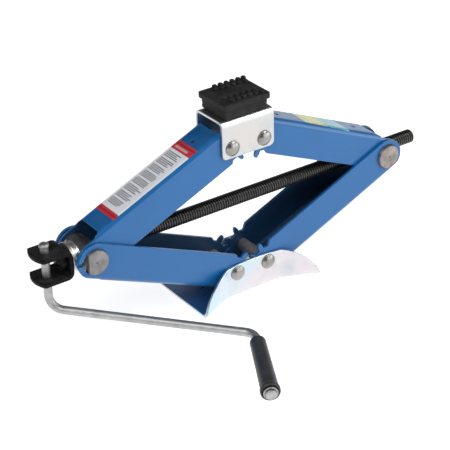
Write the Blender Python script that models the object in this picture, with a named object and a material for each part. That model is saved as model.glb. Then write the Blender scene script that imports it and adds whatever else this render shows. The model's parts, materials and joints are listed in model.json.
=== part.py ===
"""Scissor jack: four gear-ended channel arms, a zinc base and saddle, a screw with a thrust bearing,
a U yoke on the screw's end and a folding crank with a grip.

Metres, +Z up.  The screw lies along X with its crank end at -X, the front is -Y, and the origin is
the middle of the base's underside.  Every moving group hangs on an empty that sits on its hinge, so
turning the empties moves the jack.
"""
import math

import bmesh
import bpy
import numpy as np
from mathutils import Matrix, Vector

MM = 0.001
GAP = 0.3 * MM                      # play between pieces that touch

# the linkage
ARM_LENGTH = 165 * MM               # rivet axis to trunnion axis, all four arms
PIVOT_SPACING = 36 * MM             # between the two rivets of the base, and of the saddle
REST_ANGLE = math.radians(23.5)     # slope of the arms as the jack is modelled

# gear teeth on the arms' cheeks
TOOTH_COUNT = 3
TOOTH_PITCH = math.radians(40)
LEFT_FIRST_TOOTH = math.radians(-72)
TOOTH_TIP_CLEARANCE = 0.5 * MM
TOOTH_DEPTH = 3.7 * MM              # pitch circle to the gaps' floor
TOOTH_PITCH_RADIUS = PIVOT_SPACING / 2
TOOTH_ROOT_RADIUS = TOOTH_PITCH_RADIUS - TOOTH_DEPTH
TOOTH_TIP_RADIUS = TOOTH_PITCH_RADIUS + TOOTH_DEPTH - TOOTH_TIP_CLEARANCE
TOOTH_ROOT_HALF = math.radians(10.5)
TOOTH_PITCH_HALF = math.radians(7.6)
TOOTH_TIP_HALF = math.radians(4.4)
TOOTH_SHOULDER_TURN = math.radians(7.1)     # rise from the last gap to the web's round end

# screw and thrust bearing, stacked outwards from the trunnion's flat
SCREW_RADIUS = 7 * MM
SCREW_FREE_END = 50 * MM             # what the two ends add to the span of the trunnions when closed
SCREW_LENGTH = PIVOT_SPACING + 2 * ARM_LENGTH + SCREW_FREE_END
SCREW_STUD_STEP = 1.8 * MM          # the end that carries the yoke is turned down by this much
SCREW_STUD_RADIUS = SCREW_RADIUS - SCREW_STUD_STEP
SCREW_END_PROUD = 1.8 * MM
WASHER_THICKNESS = 2 * MM
WASHER_BAND = 5.6 * MM              # thread's crest to the washers' rim
WASHER_RADIUS = SCREW_RADIUS + WASHER_BAND
BALL_RADIUS = 1.5 * MM
BALL_COUNT = 8
CAGE_THICKNESS = 1.4 * MM
CAGE_INNER_RADIUS = SCREW_RADIUS + 2 * GAP
CAGE_OUTER_RADIUS = WASHER_RADIUS - GAP
BALL_CIRCLE_RADIUS = (CAGE_INNER_RADIUS + CAGE_OUTER_RADIUS) / 2
SHELL_WALL = 0.9 * MM
SHELL_INNER_RADIUS = WASHER_RADIUS + 1.5 * GAP
SHELL_RADIUS = SHELL_INNER_RADIUS + SHELL_WALL
SHELL_PLATE = 1.5 * MM
SHELL_FLANGE = 0.85 * MM            # flange past the cup
SHELL_FLANGE_RADIUS = SHELL_RADIUS + SHELL_FLANGE
SHELL_SKIRT_SETBACK = 1.2 * MM      # trunnion's flat to the shell's open rim

# arms: folded channels, the upper pair clear of the bearing and narrow enough to nest in the lower pair
ARM_SHEET = 3.0 * MM
ARM_SIDE_CLEARANCE = 0.7 * MM       # bearing's flange to the upper arms' cheeks
UPPER_ARM_WIDTH = 2 * (SHELL_FLANGE_RADIUS + ARM_SIDE_CLEARANCE + ARM_SHEET)
LOWER_ARM_WIDTH = UPPER_ARM_WIDTH + 2 * (ARM_SHEET + GAP)
ARM_WEB_OFFSET = 19 * MM            # hinge line to the web's outer face
ARM_OPEN_OFFSET = 17.2 * MM         # hinge line to the cheeks' free edges
SHALLOW_OPEN_OFFSET = 15.4 * MM     # the same on the upper right arm
ARM_BEND_RADIUS = 6 * MM
WEB_START = 18 * MM                 # web's end, measured from the trunnion axis
WEB_STOP = 4 * MM                   # web's other end, measured from the rivet axis
WEB_HOLE_RADIUS = 2.7 * MM
WEB_HOLE_INSETS = (24 * MM, 38 * MM)   # holes to the rivet axis, and to the trunnion axis

# trunnions, and the arms' round ends about them
TRUNNION_WALL = 5.1 * MM            # round the screw's thread
TRUNNION_RADIUS = SCREW_RADIUS + TRUNNION_WALL
TRUNNION_PROUD = 3.2 * MM
TRUNNION_FLAT = 8 * MM              # axis to the thrust trunnion's flat
TRUNNION_SLOT_WIDTH = 4 * MM
TRUNNION_SLOT_TURN = math.radians(20)
LOWER_END_RADIUS = TRUNNION_RADIUS + 5.1 * MM
UPPER_END_RADIUS = TRUNNION_RADIUS + 4.5 * MM

# rivets and their spacer tubes
RIVET_RADIUS = 4.5 * MM
RIVET_HEAD_RADIUS = 7.7 * MM
RIVET_HEAD_HEIGHT = 3.4 * MM
SPACER_WALL = 1.2 * MM

# base
BASE_SHEET = 2.9 * MM
BASE_TOOTH_CLEARANCE = 2.4 * MM     # floor to the teeth's tips
BASE_PIVOT_HEIGHT = BASE_SHEET + BASE_TOOTH_CLEARANCE + TOOTH_TIP_RADIUS
BASE_CHEEK_FACE = LOWER_ARM_WIDTH / 2 + GAP + BASE_SHEET
BASE_STRAIGHT_LENGTH = PIVOT_SPACING + 24 * MM      # between the cheeks' upright fold lines
BASE_WING_LENGTH = 38.5 * MM        # from a fold line to the plate's end
BASE_LENGTH = BASE_STRAIGHT_LENGTH + 2 * BASE_WING_LENGTH
BASE_WING_FLARE = 16.5 * MM         # how far a wing's tip stands out from the cheek
BASE_OFFSET = 2 * MM                # plate's middle, ahead of the middle of its rivets
BASE_CHEEK_HEIGHT = BASE_PIVOT_HEIGHT + 9.5 * MM
BASE_CHEEK_CROWN = 2.3 * MM
BASE_FOLD_RADIUS = 6 * MM
BASE_FLARE_BLEND = 3 * MM

# saddle and its rubber pad, heights above the saddle rivets
SADDLE_SHEET = 2.8 * MM
SADDLE_CHEEK_FACE = UPPER_ARM_WIDTH / 2 + GAP + SADDLE_SHEET
SADDLE_LENGTH = PIVOT_SPACING + 22.6 * MM
SADDLE_HEADROOM = 4 * MM            # over the teeth's tips
SADDLE_TOP = TOOTH_TIP_RADIUS + SADDLE_HEADROOM + SADDLE_SHEET
SADDLE_SKIRT = 10 * MM
SADDLE_FOLD_RADIUS = 6 * MM
SADDLE_CORNER_RADIUS = 5 * MM
PAD_LENGTH = 52 * MM
PAD_WIDTH = 43.5 * MM
PAD_BODY_HEIGHT = 10 * MM
PAD_LIP_HEIGHT = 6 * MM
PAD_LIP_OVERHANG = 2.4 * MM
NUB_RADIUS = 2.7 * MM
NUB_HEIGHT = 2.5 * MM
NUB_PITCH = 6.6 * MM
NUB_COUNT = 6
NUB_ROW_PLACES = (-0.37, -0.2, 0.27, 0.44)      # shares of the pad's width
NUB_STAGGER = (3 * MM, -0.3 * MM, 4.5 * MM, 7.8 * MM)

# yoke and its nut
NUT_WALL = 3.3 * MM                 # stud to the nut's flats
NUT_ACROSS_FLATS = 2 * (SCREW_STUD_RADIUS + NUT_WALL)
NUT_HEIGHT = 5 * MM
NUT_SIDE_CLEARANCE = 1.9 * MM
YOKE_SHEET = 3.6 * MM
YOKE_HEIGHT = NUT_ACROSS_FLATS + 2 * (NUT_SIDE_CLEARANCE + YOKE_SHEET)
YOKE_WIDTH = 30 * MM
YOKE_FOLD_RADIUS = 6.5 * MM
YOKE_EAR_LENGTH = 34 * MM           # web's outer face to the ears' tips
YOKE_EAR_SAGITTA = 4.4 * MM
YOKE_PIN_REACH = 20.5 * MM          # web's outer face to the crank's leg

# crank
ROD_RADIUS = 3.95 * MM
ROD_LEG_TOP = YOKE_HEIGHT / 2 + 9 * MM              # leg's head above the screw axis
ROD_LEG_DROP = 45 * MM              # arm's axis below the screw axis
ROD_BEND_RADIUS = 13.5 * MM
ROD_ARM_LENGTH = 190.5 * MM
ROD_ARM_TURN = math.radians(-49.6)  # arm's direction in plan, from +X
ROD_GRIP_DEFLECTION = math.radians(-68.4)
ROD_GRIP_LENGTH = 93.5 * MM
ROD_HEAD_RADIUS = ROD_RADIUS + 0.85 * MM
ROD_HEAD_LENGTH = 4 * MM
ROD_RIVET_LENGTH = 2 * MM
GRIP_START = 13 * MM                # arm's corner to the grip's near end
GRIP_LENGTH = 76 * MM
GRIP_NEAR_RADIUS = 7.2 * MM
GRIP_FAR_RADIUS = 8.7 * MM
GRIP_WASHER_RADIUS = 6.3 * MM
GRIP_WASHER_THICKNESS = 1.4 * MM

ROUND_SIDES = 32
SMALL_SIDES = 24

COLOURS = {                         # colour, metallic, roughness
    "blue_paint": ((0.022, 0.125, 0.42), 0.0, 0.35),
    "zinc": ((0.72, 0.74, 0.75), 1.0, 0.32),
    "steel": ((0.52, 0.51, 0.49), 1.0, 0.38),
    "bright_zinc": ((0.68, 0.67, 0.64), 1.0, 0.28),
    "black_oxide": ((0.022, 0.021, 0.02), 0.6, 0.42),
    "black_paint": ((0.012, 0.012, 0.013), 0.0, 0.45),
    "rubber": ((0.016, 0.016, 0.017), 0.0, 0.72),
    "grip_plastic": ((0.012, 0.012, 0.012), 0.0, 0.5),
    "bearing_steel": ((0.6, 0.6, 0.6), 1.0, 0.15),
    "cage_brass": ((0.55, 0.38, 0.14), 1.0, 0.35),
}


# ---------------------------------------------------------------- materials, objects, frames

def make_material(name):
    colour, metallic, roughness = COLOURS[name]
    material = bpy.data.materials.new(name)
    material.use_nodes = True
    shader = material.node_tree.nodes["Principled BSDF"]
    shader.inputs["Base Color"].default_value = (*colour, 1)
    shader.inputs["Metallic"].default_value = metallic
    shader.inputs["Roughness"].default_value = roughness
    material.diffuse_color = (*colour, 1)
    return material


def make_frame(name, parent, place, turn=0.0):
    """An empty on a hinge axis, turned about Y."""
    empty = bpy.data.objects.new(name, None)
    bpy.context.collection.objects.link(empty)
    empty.parent = parent
    empty.location = place
    empty.rotation_euler = (0, turn, 0)
    empty.empty_display_size = 0.02
    return empty


def add_piece(name, bm, parent, material, offset=(0, 0, 0)):
    """Make an object from a bmesh whose origin is the parent frame's hinge, plus an offset."""
    bmesh.ops.remove_doubles(bm, verts=bm.verts, dist=1e-7)
    mesh = bpy.data.meshes.new(name)
    bm.to_mesh(mesh)
    bm.free()
    mesh.materials.append(MATERIALS[material])
    mesh.shade_smooth()
    mesh.set_sharp_from_angle(angle=math.radians(35))
    piece = bpy.data.objects.new(name, mesh)
    bpy.context.collection.objects.link(piece)
    piece.parent = parent
    piece.location = offset
    return piece


def combine(first, second, operation):
    """Boolean of two bmeshes with the exact solver; both are used up."""
    objects = []
    for label, bm in (("first", first), ("second", second)):
        mesh = bpy.data.meshes.new(label)
        bm.to_mesh(mesh)
        bm.free()
        item = bpy.data.objects.new(label, mesh)
        bpy.context.collection.objects.link(item)
        objects.append(item)
    modifier = objects[0].modifiers.new("combine", "BOOLEAN")
    modifier.operation = operation
    modifier.solver = "EXACT"
    modifier.object = objects[1]
    evaluated = objects[0].evaluated_get(bpy.context.evaluated_depsgraph_get())
    result = bmesh.new()
    result.from_mesh(evaluated.to_mesh())
    evaluated.to_mesh_clear()
    for item in objects:
        mesh = item.data
        bpy.data.objects.remove(item)
        bpy.data.meshes.remove(mesh)
    return result


def cut(body, *cutters):
    for cutter in cutters:
        body = combine(body, cutter, "DIFFERENCE")
    return body


def gather(solids):
    """Separate solids as one bmesh, for a single boolean."""
    result = bmesh.new()
    for solid in solids:
        mesh = bpy.data.meshes.new("solid")
        solid.to_mesh(mesh)
        solid.free()
        result.from_mesh(mesh)
        bpy.data.meshes.remove(mesh)
    return result


def round_places(count, along, radius):
    """Evenly spaced places on a circle about the X axis."""
    return [(along, radius * math.cos(a), radius * math.sin(a))
            for a in np.linspace(0, 2 * math.pi, count, endpoint=False)]


# ---------------------------------------------------------------- solids

def arc(centre, radius, start, stop, steps):
    """Points along an arc, ends included; angles in radians."""
    angles = np.linspace(start, stop, steps + 1)
    return [(centre[0] + radius * math.cos(a), centre[1] + radius * math.sin(a)) for a in angles]


def prism(outline, low, high, axis):
    """Extrude a flat outline along X, Y or Z; the outline's two numbers are the other two axes in order."""
    def place(point, along):
        return Vector({"X": (along, *point), "Y": (point[0], along, point[1]), "Z": (*point, along)}[axis])
    bm = bmesh.new()
    ends = [[bm.verts.new(place(point, along)) for point in outline] for along in (low, high)]
    bm.faces.new(ends[0])
    bm.faces.new(reversed(ends[1]))
    for i in range(len(outline)):
        j = (i + 1) % len(outline)
        bm.faces.new((ends[0][j], ends[0][i], ends[1][i], ends[1][j]))
    bmesh.ops.recalc_face_normals(bm, faces=bm.faces)
    return bm


def lathe(profile, axis, sides=ROUND_SIDES, centre=(0, 0, 0)):
    """Turn a closed profile of (along, radius) points about an axis; points of radius 0 become poles."""
    bm = bmesh.new()
    rings = []
    for along, radius in profile:
        if radius == 0:
            rings.append([bm.verts.new((along, 0, 0))])
            continue
        rings.append([bm.verts.new((along, radius * math.cos(a), radius * math.sin(a)))
                      for a in np.linspace(0, 2 * math.pi, sides, endpoint=False)])
    for i, ring in enumerate(rings):
        after = rings[(i + 1) % len(rings)]
        for k in range(sides):
            corners = [ring[k % len(ring)], ring[(k + 1) % len(ring)],
                       after[(k + 1) % len(after)], after[k % len(after)]]
            corners = list(dict.fromkeys(corners))
            if len(corners) > 2:
                bm.faces.new(corners)
    turn = {"X": Matrix.Identity(4), "Y": Matrix.Rotation(math.pi / 2, 4, "Z"),
            "Z": Matrix.Rotation(-math.pi / 2, 4, "Y")}[axis]
    bmesh.ops.transform(bm, matrix=Matrix.Translation(centre) @ turn, verts=bm.verts)
    bmesh.ops.recalc_face_normals(bm, faces=bm.faces)
    return bm


def cylinder(low, high, radius, axis, centre=(0, 0, 0), sides=ROUND_SIDES):
    return lathe([(low, 0), (low, radius), (high, radius), (high, 0)], axis, sides, centre)


def ring(low, high, inner, outer, axis, sides=ROUND_SIDES, centre=(0, 0, 0)):
    return lathe([(low, inner), (low, outer), (high, outer), (high, inner)], axis, sides, centre)


def mirror(bm, x=False, z=False):
    scale = Matrix.Diagonal((-1 if x else 1, 1, -1 if z else 1, 1))
    bmesh.ops.transform(bm, matrix=scale, verts=bm.verts)
    if x != z:
        bmesh.ops.reverse_faces(bm, faces=bm.faces)
    return bm


def channel_section(half_width, top, radius, floor):
    """Section of a channel's outside or inside: a tall rectangle with rounded top corners."""
    side = half_width - radius
    height = top - radius
    right = arc((side, height), radius, 0, math.pi / 2, 6)
    left = arc((-side, height), radius, math.pi / 2, math.pi, 6)
    return [(half_width, floor), *right, *left, (-half_width, floor)]


def channel(outline, half_width, sheet, top, radius):
    """A channel folded from sheet, open downwards, with its cheeks cut to an outline in XZ."""
    reach = 2 * ARM_LENGTH
    body = prism(outline, -half_width, half_width, "Y")
    outside = prism(channel_section(half_width, top, radius, -reach), -reach, reach, "X")
    inside = prism(channel_section(half_width - sheet, top - sheet, radius - sheet, -2 * reach),
                   -2 * reach, 2 * reach, "X")
    return cut(combine(body, outside, "INTERSECT"), inside)


# ---------------------------------------------------------------- arms

def tooth_angles(right):
    """Tooth directions about the rivet; a right arm's teeth fall in a left arm's gaps."""
    first = LEFT_FIRST_TOOTH - (TOOTH_PITCH / 2 if right else 0)
    return [first + i * TOOTH_PITCH for i in range(TOOTH_COUNT)]


def gear_outline(right, open_offset):
    """Edge of the cheek round the rivet, from the free edge to the web: gap, tooth, gap, ... , gap."""
    tip_flank = (TOOTH_TIP_RADIUS - TOOTH_PITCH_RADIUS) * 0.72 + TOOTH_PITCH_RADIUS
    points = []
    angles = tooth_angles(right)
    start = angles[0] - TOOTH_PITCH / 2 - TOOTH_ROOT_HALF
    corner = (-open_offset / math.tan(start) - 2 * MM, -open_offset)
    points.append(corner)
    points += arc((0, 0), TOOTH_ROOT_RADIUS, start, start + TOOTH_ROOT_HALF, 2)
    for angle in angles:
        for radius, half in ((TOOTH_ROOT_RADIUS, TOOTH_ROOT_HALF), (TOOTH_PITCH_RADIUS, TOOTH_PITCH_HALF),
                             (tip_flank, TOOTH_TIP_HALF), (TOOTH_TIP_RADIUS, TOOTH_TIP_HALF / 2)):
            points.append((radius * math.cos(angle - half), radius * math.sin(angle - half)))
        for radius, half in ((TOOTH_TIP_RADIUS, TOOTH_TIP_HALF / 2), (tip_flank, TOOTH_TIP_HALF),
                             (TOOTH_PITCH_RADIUS, TOOTH_PITCH_HALF), (TOOTH_ROOT_RADIUS, TOOTH_ROOT_HALF)):
            points.append((radius * math.cos(angle + half), radius * math.sin(angle + half)))
    stop = angles[-1] + TOOTH_PITCH / 2 + TOOTH_ROOT_HALF
    points += arc((0, 0), TOOTH_ROOT_RADIUS, stop - TOOTH_ROOT_HALF, stop, 2)
    points += arc((0, 0), ARM_WEB_OFFSET, stop + TOOTH_SHOULDER_TURN, math.radians(87), 10)
    return points


def arm_outline(right, end_radius, open_offset):
    """Side view of an arm: rivet at the origin, trunnion at -X, web side up.

    The web side stands past the web's face, which the channel's section then trims.
    """
    far = -ARM_LENGTH
    step = 3 * MM
    web_corner = far + WEB_START - step
    low_angle = math.pi + math.asin(min(1.0, open_offset / end_radius))
    points = gear_outline(right, open_offset)
    points += [(-step, ARM_WEB_OFFSET + step), (web_corner, ARM_WEB_OFFSET + step),
               (web_corner - step, end_radius)]
    points += arc((far, 0), end_radius, math.pi / 2, low_angle, 18)
    return points


def web_window(width, low, high):
    """Cutter that ends the web between the cheeks, with rounded corners."""
    radius = 4 * MM
    corners = arc((high - radius, width / 2 - radius), radius, 0, math.pi / 2, 4)
    lower = arc((high - radius, radius - width / 2), radius, -math.pi / 2, 0, 4)
    outline = [(low, -width / 2), *lower, *corners, (low, width / 2)]
    return prism(outline, 0, 2 * ARM_WEB_OFFSET, "Z")


def make_arm(name, parent, upper, right):
    """One arm.  It is built as an upper left arm with its rivet at the origin, then mirrored."""
    width = UPPER_ARM_WIDTH if upper else LOWER_ARM_WIDTH
    end_radius = UPPER_END_RADIUS if upper else LOWER_END_RADIUS
    half = width / 2
    inner = width - 2 * ARM_SHEET
    open_offset = SHALLOW_OPEN_OFFSET if upper and right else ARM_OPEN_OFFSET
    outline = arm_outline(right, end_radius, open_offset)
    body = channel(outline, half, ARM_SHEET, ARM_WEB_OFFSET, ARM_BEND_RADIUS)
    body = cut(body,
               web_window(inner, -2 * ARM_LENGTH, WEB_START - ARM_LENGTH),
               mirror(web_window(inner, -2 * ARM_LENGTH, WEB_STOP), x=True),
               cylinder(-width, width, RIVET_RADIUS + GAP, "Y", sides=SMALL_SIDES),
               cylinder(-width, width, TRUNNION_RADIUS + GAP, "Y", (-ARM_LENGTH, 0, 0)))
    if upper:
        near, far = WEB_HOLE_INSETS
        body = cut(body, gather([cylinder(0, width, WEB_HOLE_RADIUS, "Z", (x, 0, 0), 12)
                                 for x in (-near, far - ARM_LENGTH)]))
    elif not right:
        reach = 2 * TRUNNION_RADIUS
        slot = prism([(-reach, -TRUNNION_SLOT_WIDTH / 2), (0, -TRUNNION_SLOT_WIDTH / 2),
                      (0, TRUNNION_SLOT_WIDTH / 2), (-reach, TRUNNION_SLOT_WIDTH / 2)], -width, width, "Y")
        turn = Matrix.Translation((-ARM_LENGTH, 0, 0)) @ Matrix.Rotation(TRUNNION_SLOT_TURN, 4, "Y")
        bmesh.ops.transform(slot, matrix=turn, verts=slot.verts)
        body = cut(body, slot)
    if upper:
        bmesh.ops.translate(body, vec=(ARM_LENGTH, 0, 0), verts=body.verts)
    return add_piece(name, mirror(body, x=right, z=not upper), parent, "blue_paint")


# ---------------------------------------------------------------- base and saddle

def base_half_width(x):
    """Outer half width of the base: straight between the fold lines, flared outwards beyond them."""
    past = max(abs(x) - BASE_STRAIGHT_LENGTH / 2, 0)
    eased = min(past, BASE_FLARE_BLEND)
    run = past - eased + eased ** 2 / (2 * BASE_FLARE_BLEND)
    full_run = (BASE_LENGTH - BASE_STRAIGHT_LENGTH - BASE_FLARE_BLEND) / 2
    return BASE_CHEEK_FACE + BASE_WING_FLARE * run / full_run


def base_top(x):
    """Height of the cheek's upper edge: a shallow crown, then a drooping wing."""
    half = BASE_STRAIGHT_LENGTH / 2
    edge = BASE_CHEEK_HEIGHT - BASE_CHEEK_CROWN
    if abs(x) <= half:
        return edge + BASE_CHEEK_CROWN * (1 - (x / half) ** 2)
    share = (abs(x) - half) / (BASE_LENGTH / 2 - half)
    return edge * max(0.0, 1 - share ** 1.5) ** 0.6


def base_section(x):
    """Outer and inner line of the folded sheet at one place along the base, from cheek to cheek."""
    half, radius = base_half_width(x), BASE_FOLD_RADIUS
    flat = half - radius
    bend = radius * math.pi / 2
    top = max(base_top(x), BASE_SHEET / 2)
    if top > radius:
        total = flat + bend + top - radius
    else:
        total = flat + radius * math.acos(1 - top / radius)
    distances = [0, *np.linspace(flat, min(flat + bend, total), 6)]
    distances += list(np.linspace(distances[-1], total, 4)[1:])
    outer, inner = [], []
    for s in distances:
        angle = min(max((s - flat) / radius, 0), math.pi / 2)
        rise = max(s - flat - bend, 0)
        y = min(s, flat) + radius * math.sin(angle)
        z = radius * (1 - math.cos(angle)) + rise
        outer.append((y, z))
        inner.append((y - BASE_SHEET * math.sin(angle), z + BASE_SHEET * math.cos(angle)))
    def both(line):
        return [(-y, z) for y, z in reversed(line[1:])] + line
    return both(outer), both(inner)


def make_base(parent):
    """Loft the folded sheet along X, then pierce it for the two rivets."""
    half, fold = BASE_LENGTH / 2, BASE_STRAIGHT_LENGTH / 2
    wing = [fold + (half - fold) * share for share in (0.1, 0.25, 0.45, 0.65, 0.8, 0.9, 0.96, 1)]
    middle = list(np.linspace(-fold, fold, 7))
    stations = [-x for x in reversed(wing)] + middle + wing
    bm = bmesh.new()
    loops = []
    for x in stations:
        outer, inner = base_section(x)
        loops.append([bm.verts.new((x + BASE_OFFSET, y, z)) for y, z in outer + inner[::-1]])
    for before, after in zip(loops, loops[1:]):
        for i in range(len(before)):
            j = (i + 1) % len(before)
            bm.faces.new((before[i], before[j], after[j], after[i]))
    bm.faces.new(loops[0])
    bm.faces.new(reversed(loops[-1]))
    bmesh.ops.recalc_face_normals(bm, faces=bm.faces)
    holes = [cylinder(-BASE_LENGTH, BASE_LENGTH, RIVET_RADIUS + GAP, "Y",
                      (side * PIVOT_SPACING / 2, 0, BASE_PIVOT_HEIGHT), SMALL_SIDES) for side in (-1, 1)]
    return add_piece("base_plate", cut(bm, gather(holes)), parent, "zinc")


def make_saddle(parent):
    """Folded bracket over the upper arms; its frame's origin is the left saddle rivet."""
    middle = PIVOT_SPACING / 2
    left, right = middle - SADDLE_LENGTH / 2, middle + SADDLE_LENGTH / 2
    radius = SADDLE_CORNER_RADIUS
    outline = arc((left + radius, radius - SADDLE_SKIRT), radius, math.pi, 1.5 * math.pi, 5)
    outline += arc((right - radius, radius - SADDLE_SKIRT), radius, 1.5 * math.pi, 2 * math.pi, 5)
    outline += [(right, SADDLE_TOP + radius), (left, SADDLE_TOP + radius)]
    body = channel(outline, SADDLE_CHEEK_FACE, SADDLE_SHEET, SADDLE_TOP, SADDLE_FOLD_RADIUS)
    holes = [cylinder(-PAD_WIDTH, PAD_WIDTH, RIVET_RADIUS + GAP, "Y", (x, 0, 0), SMALL_SIDES)
             for x in (0, PIVOT_SPACING)]
    return add_piece("saddle_bracket", cut(body, gather(holes)), parent, "zinc")


def box(x, y, z):
    """Box from three (low, high) pairs."""
    return prism([(x[0], y[0]), (x[1], y[0]), (x[1], y[1]), (x[0], y[1])], z[0], z[1], "Z")


def make_pad(parent):
    """Rubber pad: a body, an overhanging lip and rows of round nubs beside a plain channel."""
    middle = PIVOT_SPACING / 2
    bottom = SADDLE_TOP + GAP
    step = bottom + PAD_BODY_HEIGHT
    top = step + PAD_LIP_HEIGHT
    half_x, half_y = PAD_LENGTH / 2, PAD_WIDTH / 2
    body_x, body_y = half_x - PAD_LIP_OVERHANG, half_y - PAD_LIP_OVERHANG
    sink = 0.5 * MM
    body = box((middle - body_x, middle + body_x), (-body_y, body_y), (bottom, step + sink))
    lip = box((middle - half_x, middle + half_x), (-half_y, half_y), (step, top))
    pad = combine(body, lip, "UNION")
    nubs = bmesh.new()
    for share, stagger in zip(NUB_ROW_PLACES, NUB_STAGGER):
        for i in range(NUB_COUNT):
            x = middle + stagger + (i - (NUB_COUNT - 1) / 2) * NUB_PITCH
            place = Matrix.Translation((x, share * PAD_WIDTH, top + (NUB_HEIGHT - sink) / 2))
            bmesh.ops.create_cone(nubs, cap_ends=True, segments=8, radius1=NUB_RADIUS,
                                  radius2=0.85 * NUB_RADIUS, depth=NUB_HEIGHT + sink, matrix=place)
    return add_piece("rubber_pad", combine(pad, nubs, "UNION"), parent, "rubber")


def make_rivet(name, parent, place, grip):
    """Rivet with a dome on each end; grip is half the distance between the heads."""
    dome_radius = (RIVET_HEAD_RADIUS ** 2 + RIVET_HEAD_HEIGHT ** 2) / (2 * RIVET_HEAD_HEIGHT)
    half_angle = math.asin(RIVET_HEAD_RADIUS / dome_radius)
    dome = [(grip + RIVET_HEAD_HEIGHT - dome_radius * (1 - math.cos(a)), dome_radius * math.sin(a))
            for a in np.linspace(half_angle, 0, 6)[:-1]]
    dome.append((grip + RIVET_HEAD_HEIGHT, 0))
    other = [(-along, radius) for along, radius in reversed(dome)]
    profile = other + [(-grip, RIVET_RADIUS), (grip, RIVET_RADIUS)] + dome
    return add_piece(name, lathe(profile, "Y", SMALL_SIDES), parent, "bright_zinc", place)


def make_spacer(name, parent, place, half_length):
    """Tube round a rivet that keeps an arm's cheeks apart."""
    inner = RIVET_RADIUS + GAP
    tube = ring(-half_length, half_length, inner, inner + SPACER_WALL, "Y", SMALL_SIDES)
    return add_piece(name, tube, parent, "steel", place)


# ---------------------------------------------------------------- trunnions, bearing, screw

def make_trunnion(name, parent, flat):
    """Cross pin of one side, bored for the screw; the thrust trunnion has a flat on its outer side."""
    half = LOWER_ARM_WIDTH / 2 + TRUNNION_PROUD
    body = cylinder(-half, half, TRUNNION_RADIUS, "Y")
    body = cut(body, cylinder(-2 * half, 2 * half, SCREW_RADIUS + GAP, "X"))
    if flat:
        depth = 2 * TRUNNION_RADIUS
        body = cut(body, box((-depth, -TRUNNION_FLAT), (-2 * half, 2 * half), (-depth, depth)))
    return add_piece(name, body, parent, "steel")


def make_ball_cage(parent, centre):
    """Flat ring with a round pocket for each ball."""
    half = CAGE_THICKNESS / 2
    body = ring(centre - half, centre + half, CAGE_INNER_RADIUS, CAGE_OUTER_RADIUS, "X")
    pockets = [cylinder(-CAGE_THICKNESS, CAGE_THICKNESS, BALL_RADIUS + GAP, "X", place, 12)
               for place in round_places(BALL_COUNT, centre, BALL_CIRCLE_RADIUS)]
    return add_piece("ball_cage", cut(body, gather(pockets)), parent, "cage_brass")


def make_balls(parent, centre):
    for i, place in enumerate(round_places(BALL_COUNT, centre, BALL_CIRCLE_RADIUS)):
        bm = bmesh.new()
        bmesh.ops.create_uvsphere(bm, u_segments=10, v_segments=7, radius=BALL_RADIUS)
        add_piece(f"thrust_ball_{i + 1}", bm, parent, "bearing_steel", place)


def make_bearing_shell(parent, plate_low, plate_high, rim):
    """Cup round the bearing with a wide flange against the yoke."""
    bore = SCREW_RADIUS + GAP
    profile = [(plate_low, bore), (plate_low, SHELL_FLANGE_RADIUS), (plate_high, SHELL_FLANGE_RADIUS),
               (plate_high, SHELL_RADIUS), (rim, SHELL_RADIUS), (rim, SHELL_INNER_RADIUS),
               (plate_high, SHELL_INNER_RADIUS), (plate_high, bore)]
    return add_piece("bearing_shell", lathe(profile, "X"), parent, "bright_zinc")


def make_yoke(parent, face):
    """U of strip steel: the web's outer face is at x = face, the ears run towards -X."""
    half, inner_half = YOKE_HEIGHT / 2, YOKE_HEIGHT / 2 - YOKE_SHEET
    tip = face - YOKE_EAR_LENGTH
    outer_r, inner_r = YOKE_FOLD_RADIUS, YOKE_FOLD_RADIUS - YOKE_SHEET
    outline = [(tip, half), (tip, inner_half)]
    outline += arc((face - outer_r, half - outer_r), inner_r, math.pi / 2, 0, 5)
    outline += arc((face - outer_r, outer_r - half), inner_r, 0, -math.pi / 2, 5)
    outline += [(tip, -inner_half), (tip, -half)]
    outline += arc((face - outer_r, outer_r - half), outer_r, -math.pi / 2, 0, 6)
    outline += arc((face - outer_r, half - outer_r), outer_r, 0, math.pi / 2, 6)
    side_view = prism(outline, -YOKE_WIDTH / 2, YOKE_WIDTH / 2, "Y")
    tip_radius = ((YOKE_WIDTH / 2) ** 2 + YOKE_EAR_SAGITTA ** 2) / (2 * YOKE_EAR_SAGITTA)
    spread = math.asin(YOKE_WIDTH / 2 / tip_radius)
    plan = arc((tip + tip_radius, 0), tip_radius, math.pi - spread, math.pi + spread, 12)
    plan += [(face + YOKE_SHEET, -YOKE_WIDTH / 2), (face + YOKE_SHEET, YOKE_WIDTH / 2)]
    body = combine(side_view, prism(plan, -YOKE_HEIGHT, YOKE_HEIGHT, "Z"), "INTERSECT")
    leg = (face - YOKE_PIN_REACH, 0, 0)
    body = cut(body, cylinder(-YOKE_HEIGHT, YOKE_HEIGHT, ROD_RADIUS + GAP, "Z", leg, SMALL_SIDES),
               cylinder(face - YOKE_HEIGHT / 2, face + YOKE_HEIGHT, SCREW_STUD_RADIUS + GAP, "X",
                        sides=SMALL_SIDES))
    return add_piece("crank_yoke", body, parent, "black_paint")


def make_yoke_nut(parent, high):
    radius = NUT_ACROSS_FLATS / math.sqrt(3)
    hexagon = [(radius * math.cos(a), radius * math.sin(a)) for a in np.radians(np.arange(0, 360, 60))]
    body = prism(hexagon, high - NUT_HEIGHT, high, "X")
    body = cut(body, cylinder(-ARM_LENGTH, ARM_LENGTH, SCREW_STUD_RADIUS + GAP, "X", sides=SMALL_SIDES))
    return add_piece("yoke_nut", body, parent, "black_oxide")


# ---------------------------------------------------------------- crank

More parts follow.
